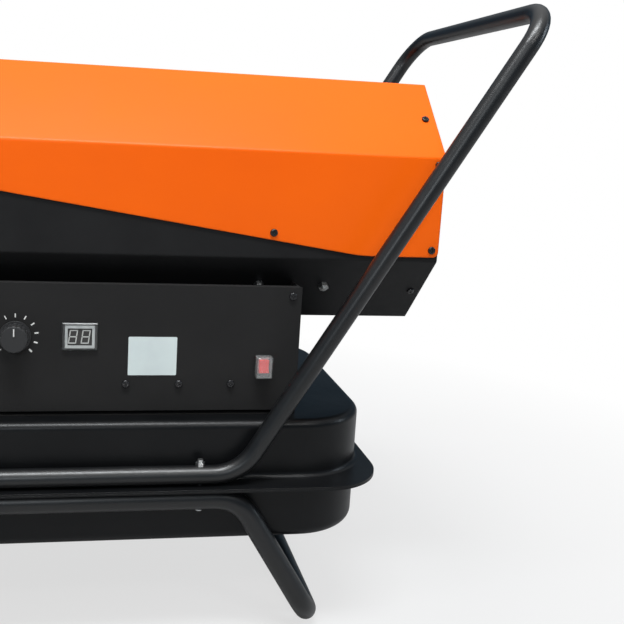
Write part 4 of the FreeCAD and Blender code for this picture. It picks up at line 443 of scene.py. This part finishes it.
def build_digits(shape):
    """Two slanted seven-segment figures with thin gaps between the segments."""
    middle_x, middle_z = box_middle(module_low, module_high)
    for side in (-0.5, 0.5):
        for outline in segment_outlines():
            middle = sum((Vector(point) for point in outline), Vector((0.0, 0.0))) / len(outline)
            points = []
            for point in outline:
                inward = (middle - Vector(point)).normalized() * SEGMENT_GAP
                x, z = Vector(point) + inward
                points.append((middle_x + DIGIT_OFFSET + side * DIGIT_PITCH + x + z * SLANT, middle_z + z))
            slab(shape, points, module_low.y, SEGMENT_PROUD)


add_piece("display_digits", build_digits, SEGMENT_PALE, "chassis")

bezel_low, bezel_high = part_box("display_bezel")
SURROUND_HALF = (0.0151, 0.0120)
SURROUND_CORNER_R = 0.0010
SURROUND_HOLE = (0.0124, 0.0090)
SURROUND_HOLE_R = 0.0006
SURROUND_CORNER_STEPS = 3
SURROUND_PROUD = 0.0002


def build_surround(shape):
    """Silver frame printed round the window, on the bezel's face."""
    loops = []
    for half, radius in ((SURROUND_HALF, SURROUND_CORNER_R), (SURROUND_HOLE, SURROUND_HOLE_R)):
        middle = box_middle(bezel_low, bezel_high)
        outline = rounded_rectangle(*middle, *half, radius, SURROUND_CORNER_STEPS)
        for y in (bezel_low.y - SURROUND_PROUD, bezel_low.y):
            loops.append([shape.verts.new((px, y, pz)) for px, pz in outline])
    count = len(loops[0])
    for first, second in ((0, 1), (1, 3), (3, 2), (2, 0)):
        for i in range(count):
            j = (i + 1) % count
            shape.faces.new((loops[first][i], loops[first][j], loops[second][j], loops[second][i]))


add_piece("display_surround", build_surround, SURROUND_SILVER, "chassis")

knob_low, knob_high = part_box("thermostat_knob")
KNOB_X, KNOB_Z = box_middle(knob_low, knob_high)
TICK_COUNT = 11
TICK_SWEEP = 270.0
TICK_START = 0.0195
TICK_END = 0.0235
TICK_HALF_WIDTH = 0.0003
TICK_WIDENING = 0.00006
TICK_PROUD = 0.00008


def build_ticks(shape):
    """Printed marks round the thermostat, wider from low to high."""
    for i in range(TICK_COUNT):
        angle = math.radians(90 + TICK_SWEEP / 2 - TICK_SWEEP * i / (TICK_COUNT - 1))
        out = Vector((math.cos(angle), math.sin(angle)))
        across = Vector((-out.y, out.x)) * (TICK_HALF_WIDTH + TICK_WIDENING * i)
        start, end = out * TICK_START, out * TICK_END
        corners = (start - across, end - across, end + across, start + across)
        outline = [(KNOB_X + corner.x, KNOB_Z + corner.y) for corner in corners]
        slab(shape, outline, PANEL_FACE, TICK_PROUD)


add_piece("thermostat_ticks", build_ticks, TICK_WHITE, "chassis")

POINTER_HALF_WIDTH = 0.0006
POINTER_START = 0.0035
POINTER_END = 0.0115
POINTER_PROUD = 0.0001


def build_pointer(shape):
    """White line on the knob's face, from near its middle to its rim."""
    left, right = KNOB_X - POINTER_HALF_WIDTH, KNOB_X + POINTER_HALF_WIDTH
    low, high = KNOB_Z + POINTER_START, KNOB_Z + POINTER_END
    slab(shape, [(left, low), (right, low), (right, high), (left, high)], knob_low.y, POINTER_PROUD)


add_piece("knob_pointer", build_pointer, TICK_WHITE, "knob")

# Stage: floor, light and camera
WHITE = (1.0, 1.0, 1.0)


def seen_ray(tree, gloss):
    """1 for rays that see the stage directly or through glass, and gloss for mirrored ones."""
    path = tree.nodes.new("ShaderNodeLightPath")
    direct = math_node(tree, "MAXIMUM", path.outputs["Is Camera Ray"], path.outputs["Is Transmission Ray"])
    mirrored = math_node(tree, "MULTIPLY", path.outputs["Is Glossy Ray"], gloss)
    return math_node(tree, "MAXIMUM", direct, mirrored)


FLOOR_HALF = 12.0
FLOOR_LIGHT = (0.42, 0.42, 0.42)
FLOOR_DARK = (0.40, 0.40, 0.40)
FLOOR_DRIFT_SCALE = 3.0
FLOOR_ROUGH = 0.85
FLOOR_SPECULAR = 0.1
FLOOR_MIRRORED = 0.15
FADE_FROM, FADE_TO = 0.45, 1.25
GLOW_NEAR, GLOW_FAR = 0.68, 1.0


def build_floor():
    """Pale floor that keeps the heater's shadow and fades to white away from it."""
    mesh = bpy.data.meshes.new("floor")
    shape = bmesh.new()
    bmesh.ops.create_grid(shape, x_segments=1, y_segments=1, size=FLOOR_HALF)
    shape.to_mesh(mesh)
    shape.free()
    floor = bpy.data.objects.new("floor", mesh)
    scene.collection.objects.link(floor)
    material, tree, shader = new_material("floor_pale")
    coords = object_coords(tree)
    drift = spread(tree, noise(tree, coords, FLOOR_DRIFT_SCALE))
    tree.links.new(mix_colour(tree, drift, FLOOR_LIGHT, FLOOR_DARK), shader.inputs["Base Color"])
    shader.inputs["Roughness"].default_value = FLOOR_ROUGH
    shader.inputs["Specular IOR Level"].default_value = FLOOR_SPECULAR
    reach = tree.nodes.new("ShaderNodeVectorMath")
    reach.operation = "LENGTH"
    tree.links.new(coords, reach.inputs[0])
    fade = remap(tree, reach.outputs["Value"], FADE_FROM, FADE_TO, GLOW_NEAR, GLOW_FAR)
    glow = tree.nodes.new("ShaderNodeEmission")
    blend = tree.nodes.new("ShaderNodeMixShader")
    share = math_node(tree, "MULTIPLY", fade, seen_ray(tree, FLOOR_MIRRORED))
    tree.links.new(share, blend.inputs["Fac"])
    tree.links.new(shader.outputs["BSDF"], blend.inputs[1])
    tree.links.new(glow.outputs["Emission"], blend.inputs[2])
    output = next(node for node in tree.nodes if node.type == "OUTPUT_MATERIAL")
    tree.links.new(blend.outputs["Shader"], output.inputs["Surface"])
    mesh.materials.append(material)


build_floor()

SKY_FROM, SKY_TO = 0.36, 0.9
HORIZON_LIGHT = (0.15, 0.15, 0.155)
ZENITH_LIGHT = (0.75, 0.75, 0.755)
HORIZON_MIRRORED = (0.06, 0.11, 0.16)


def build_world():
    """Grey light that grows towards the zenith.

    Mirrored rays meet a cool, dim horizon below a white zenith. The camera and glass see plain white.
    """
    world = bpy.data.worlds.new("studio")
    world.use_nodes = True
    scene.world = world
    tree = world.node_tree
    tree.nodes.clear()
    output = tree.nodes.new("ShaderNodeOutputWorld")
    background = tree.nodes.new("ShaderNodeBackground")
    heading = tree.nodes.new("ShaderNodeSeparateXYZ")
    direction = tree.nodes.new("ShaderNodeTexCoord").outputs["Generated"]
    tree.links.new(direction, heading.inputs["Vector"])
    lift = remap(tree, heading.outputs["Z"], SKY_FROM, SKY_TO, 0.0, 1.0)
    sky = mix_colour(tree, lift, HORIZON_LIGHT, ZENITH_LIGHT)
    mirrored = mix_colour(tree, lift, HORIZON_MIRRORED, WHITE)
    path = tree.nodes.new("ShaderNodeLightPath")
    around = mix_colour(tree, path.outputs["Is Glossy Ray"], sky, mirrored)
    shown = mix_colour(tree, seen_ray(tree, 0.0), around, WHITE)
    tree.links.new(shown, background.inputs["Color"])
    tree.links.new(background.outputs["Background"], output.inputs["Surface"])


build_world()


def area_light(name, place, target, size, power, colour, mirrored=True):
    lamp = bpy.data.lights.new(name, "AREA")
    lamp.shape = "RECTANGLE"
    lamp.size, lamp.size_y = size
    lamp.energy = power
    lamp.color = colour
    light = bpy.data.objects.new(name, lamp)
    light.location = place
    light.rotation_euler = (Vector(target) - Vector(place)).to_track_quat("-Z", "Y").to_euler()
    light.visible_glossy = mirrored
    scene.collection.objects.link(light)


area_light("key", place=(0.9, -2.2, 2.4), target=(0.0, 0.0, 0.35),
           size=(0.5, 0.3), power=12.0, colour=(1.0, 0.99, 0.97))
area_light("front", place=(-0.6, -2.9, 1.5), target=(0.0, 0.0, 0.4),
           size=(0.6, 0.45), power=13.2, colour=(0.90, 0.96, 1.0))
area_light("top", place=(-0.1, -0.8, 2.6), target=(0.0, 0.0, 0.3),
           size=(1.4, 0.4), power=68.0, colour=(0.95, 0.98, 1.0))
area_light("right", place=(2.6, -0.4, 1.1), target=(0.1, 0.0, 0.35),
           size=(0.3, 1.0), power=10.0, colour=(0.80, 0.90, 1.0))
area_light("left_fill", place=(-2.2, -1.2, 1.2), target=(0.0, 0.0, 0.35),
           size=(1.2, 1.6), power=7.0, colour=WHITE, mirrored=False)
area_light("back_fill", place=(1.0, 2.4, 1.6), target=(0.0, 0.0, 0.4),
           size=(1.8, 1.2), power=20.0, colour=(0.88, 0.94, 1.0), mirrored=False)

# Camera fitted to the long edges of the hood, panel, tank and tubes in the photo
SENSOR_WIDTH_MM = 36.0
FOCAL_PX, PICTURE_PX = 845.1, 624.0
SHIFT_X, SHIFT_Y = 0.12, -0.06
CAMERA_PLACE = (-0.0290, -1.0154, 0.5437)
CAMERA_DOWN_DEG = 9.819
CAMERA_TURN_DEG = -9.961
CAMERA_ROLL_DEG = 2.855
NEAR_CLIP = 0.01

camera_data = bpy.data.cameras.new("camera")
camera_data.sensor_fit = "HORIZONTAL"
camera_data.sensor_width = SENSOR_WIDTH_MM
camera_data.lens = FOCAL_PX / PICTURE_PX * SENSOR_WIDTH_MM
camera_data.shift_x = SHIFT_X
camera_data.shift_y = SHIFT_Y
camera_data.clip_start = NEAR_CLIP
camera = bpy.data.objects.new("camera", camera_data)
camera.location = CAMERA_PLACE
look = Euler((math.radians(90.0 - CAMERA_DOWN_DEG), 0.0, math.radians(CAMERA_TURN_DEG)), "XYZ").to_matrix()
roll = Euler((0.0, 0.0, math.radians(CAMERA_ROLL_DEG)), "XYZ").to_matrix()
camera.rotation_euler = (look @ roll).to_euler()
scene.collection.objects.link(camera)
scene.camera = camera

scene.view_settings.view_transform = "Standard"
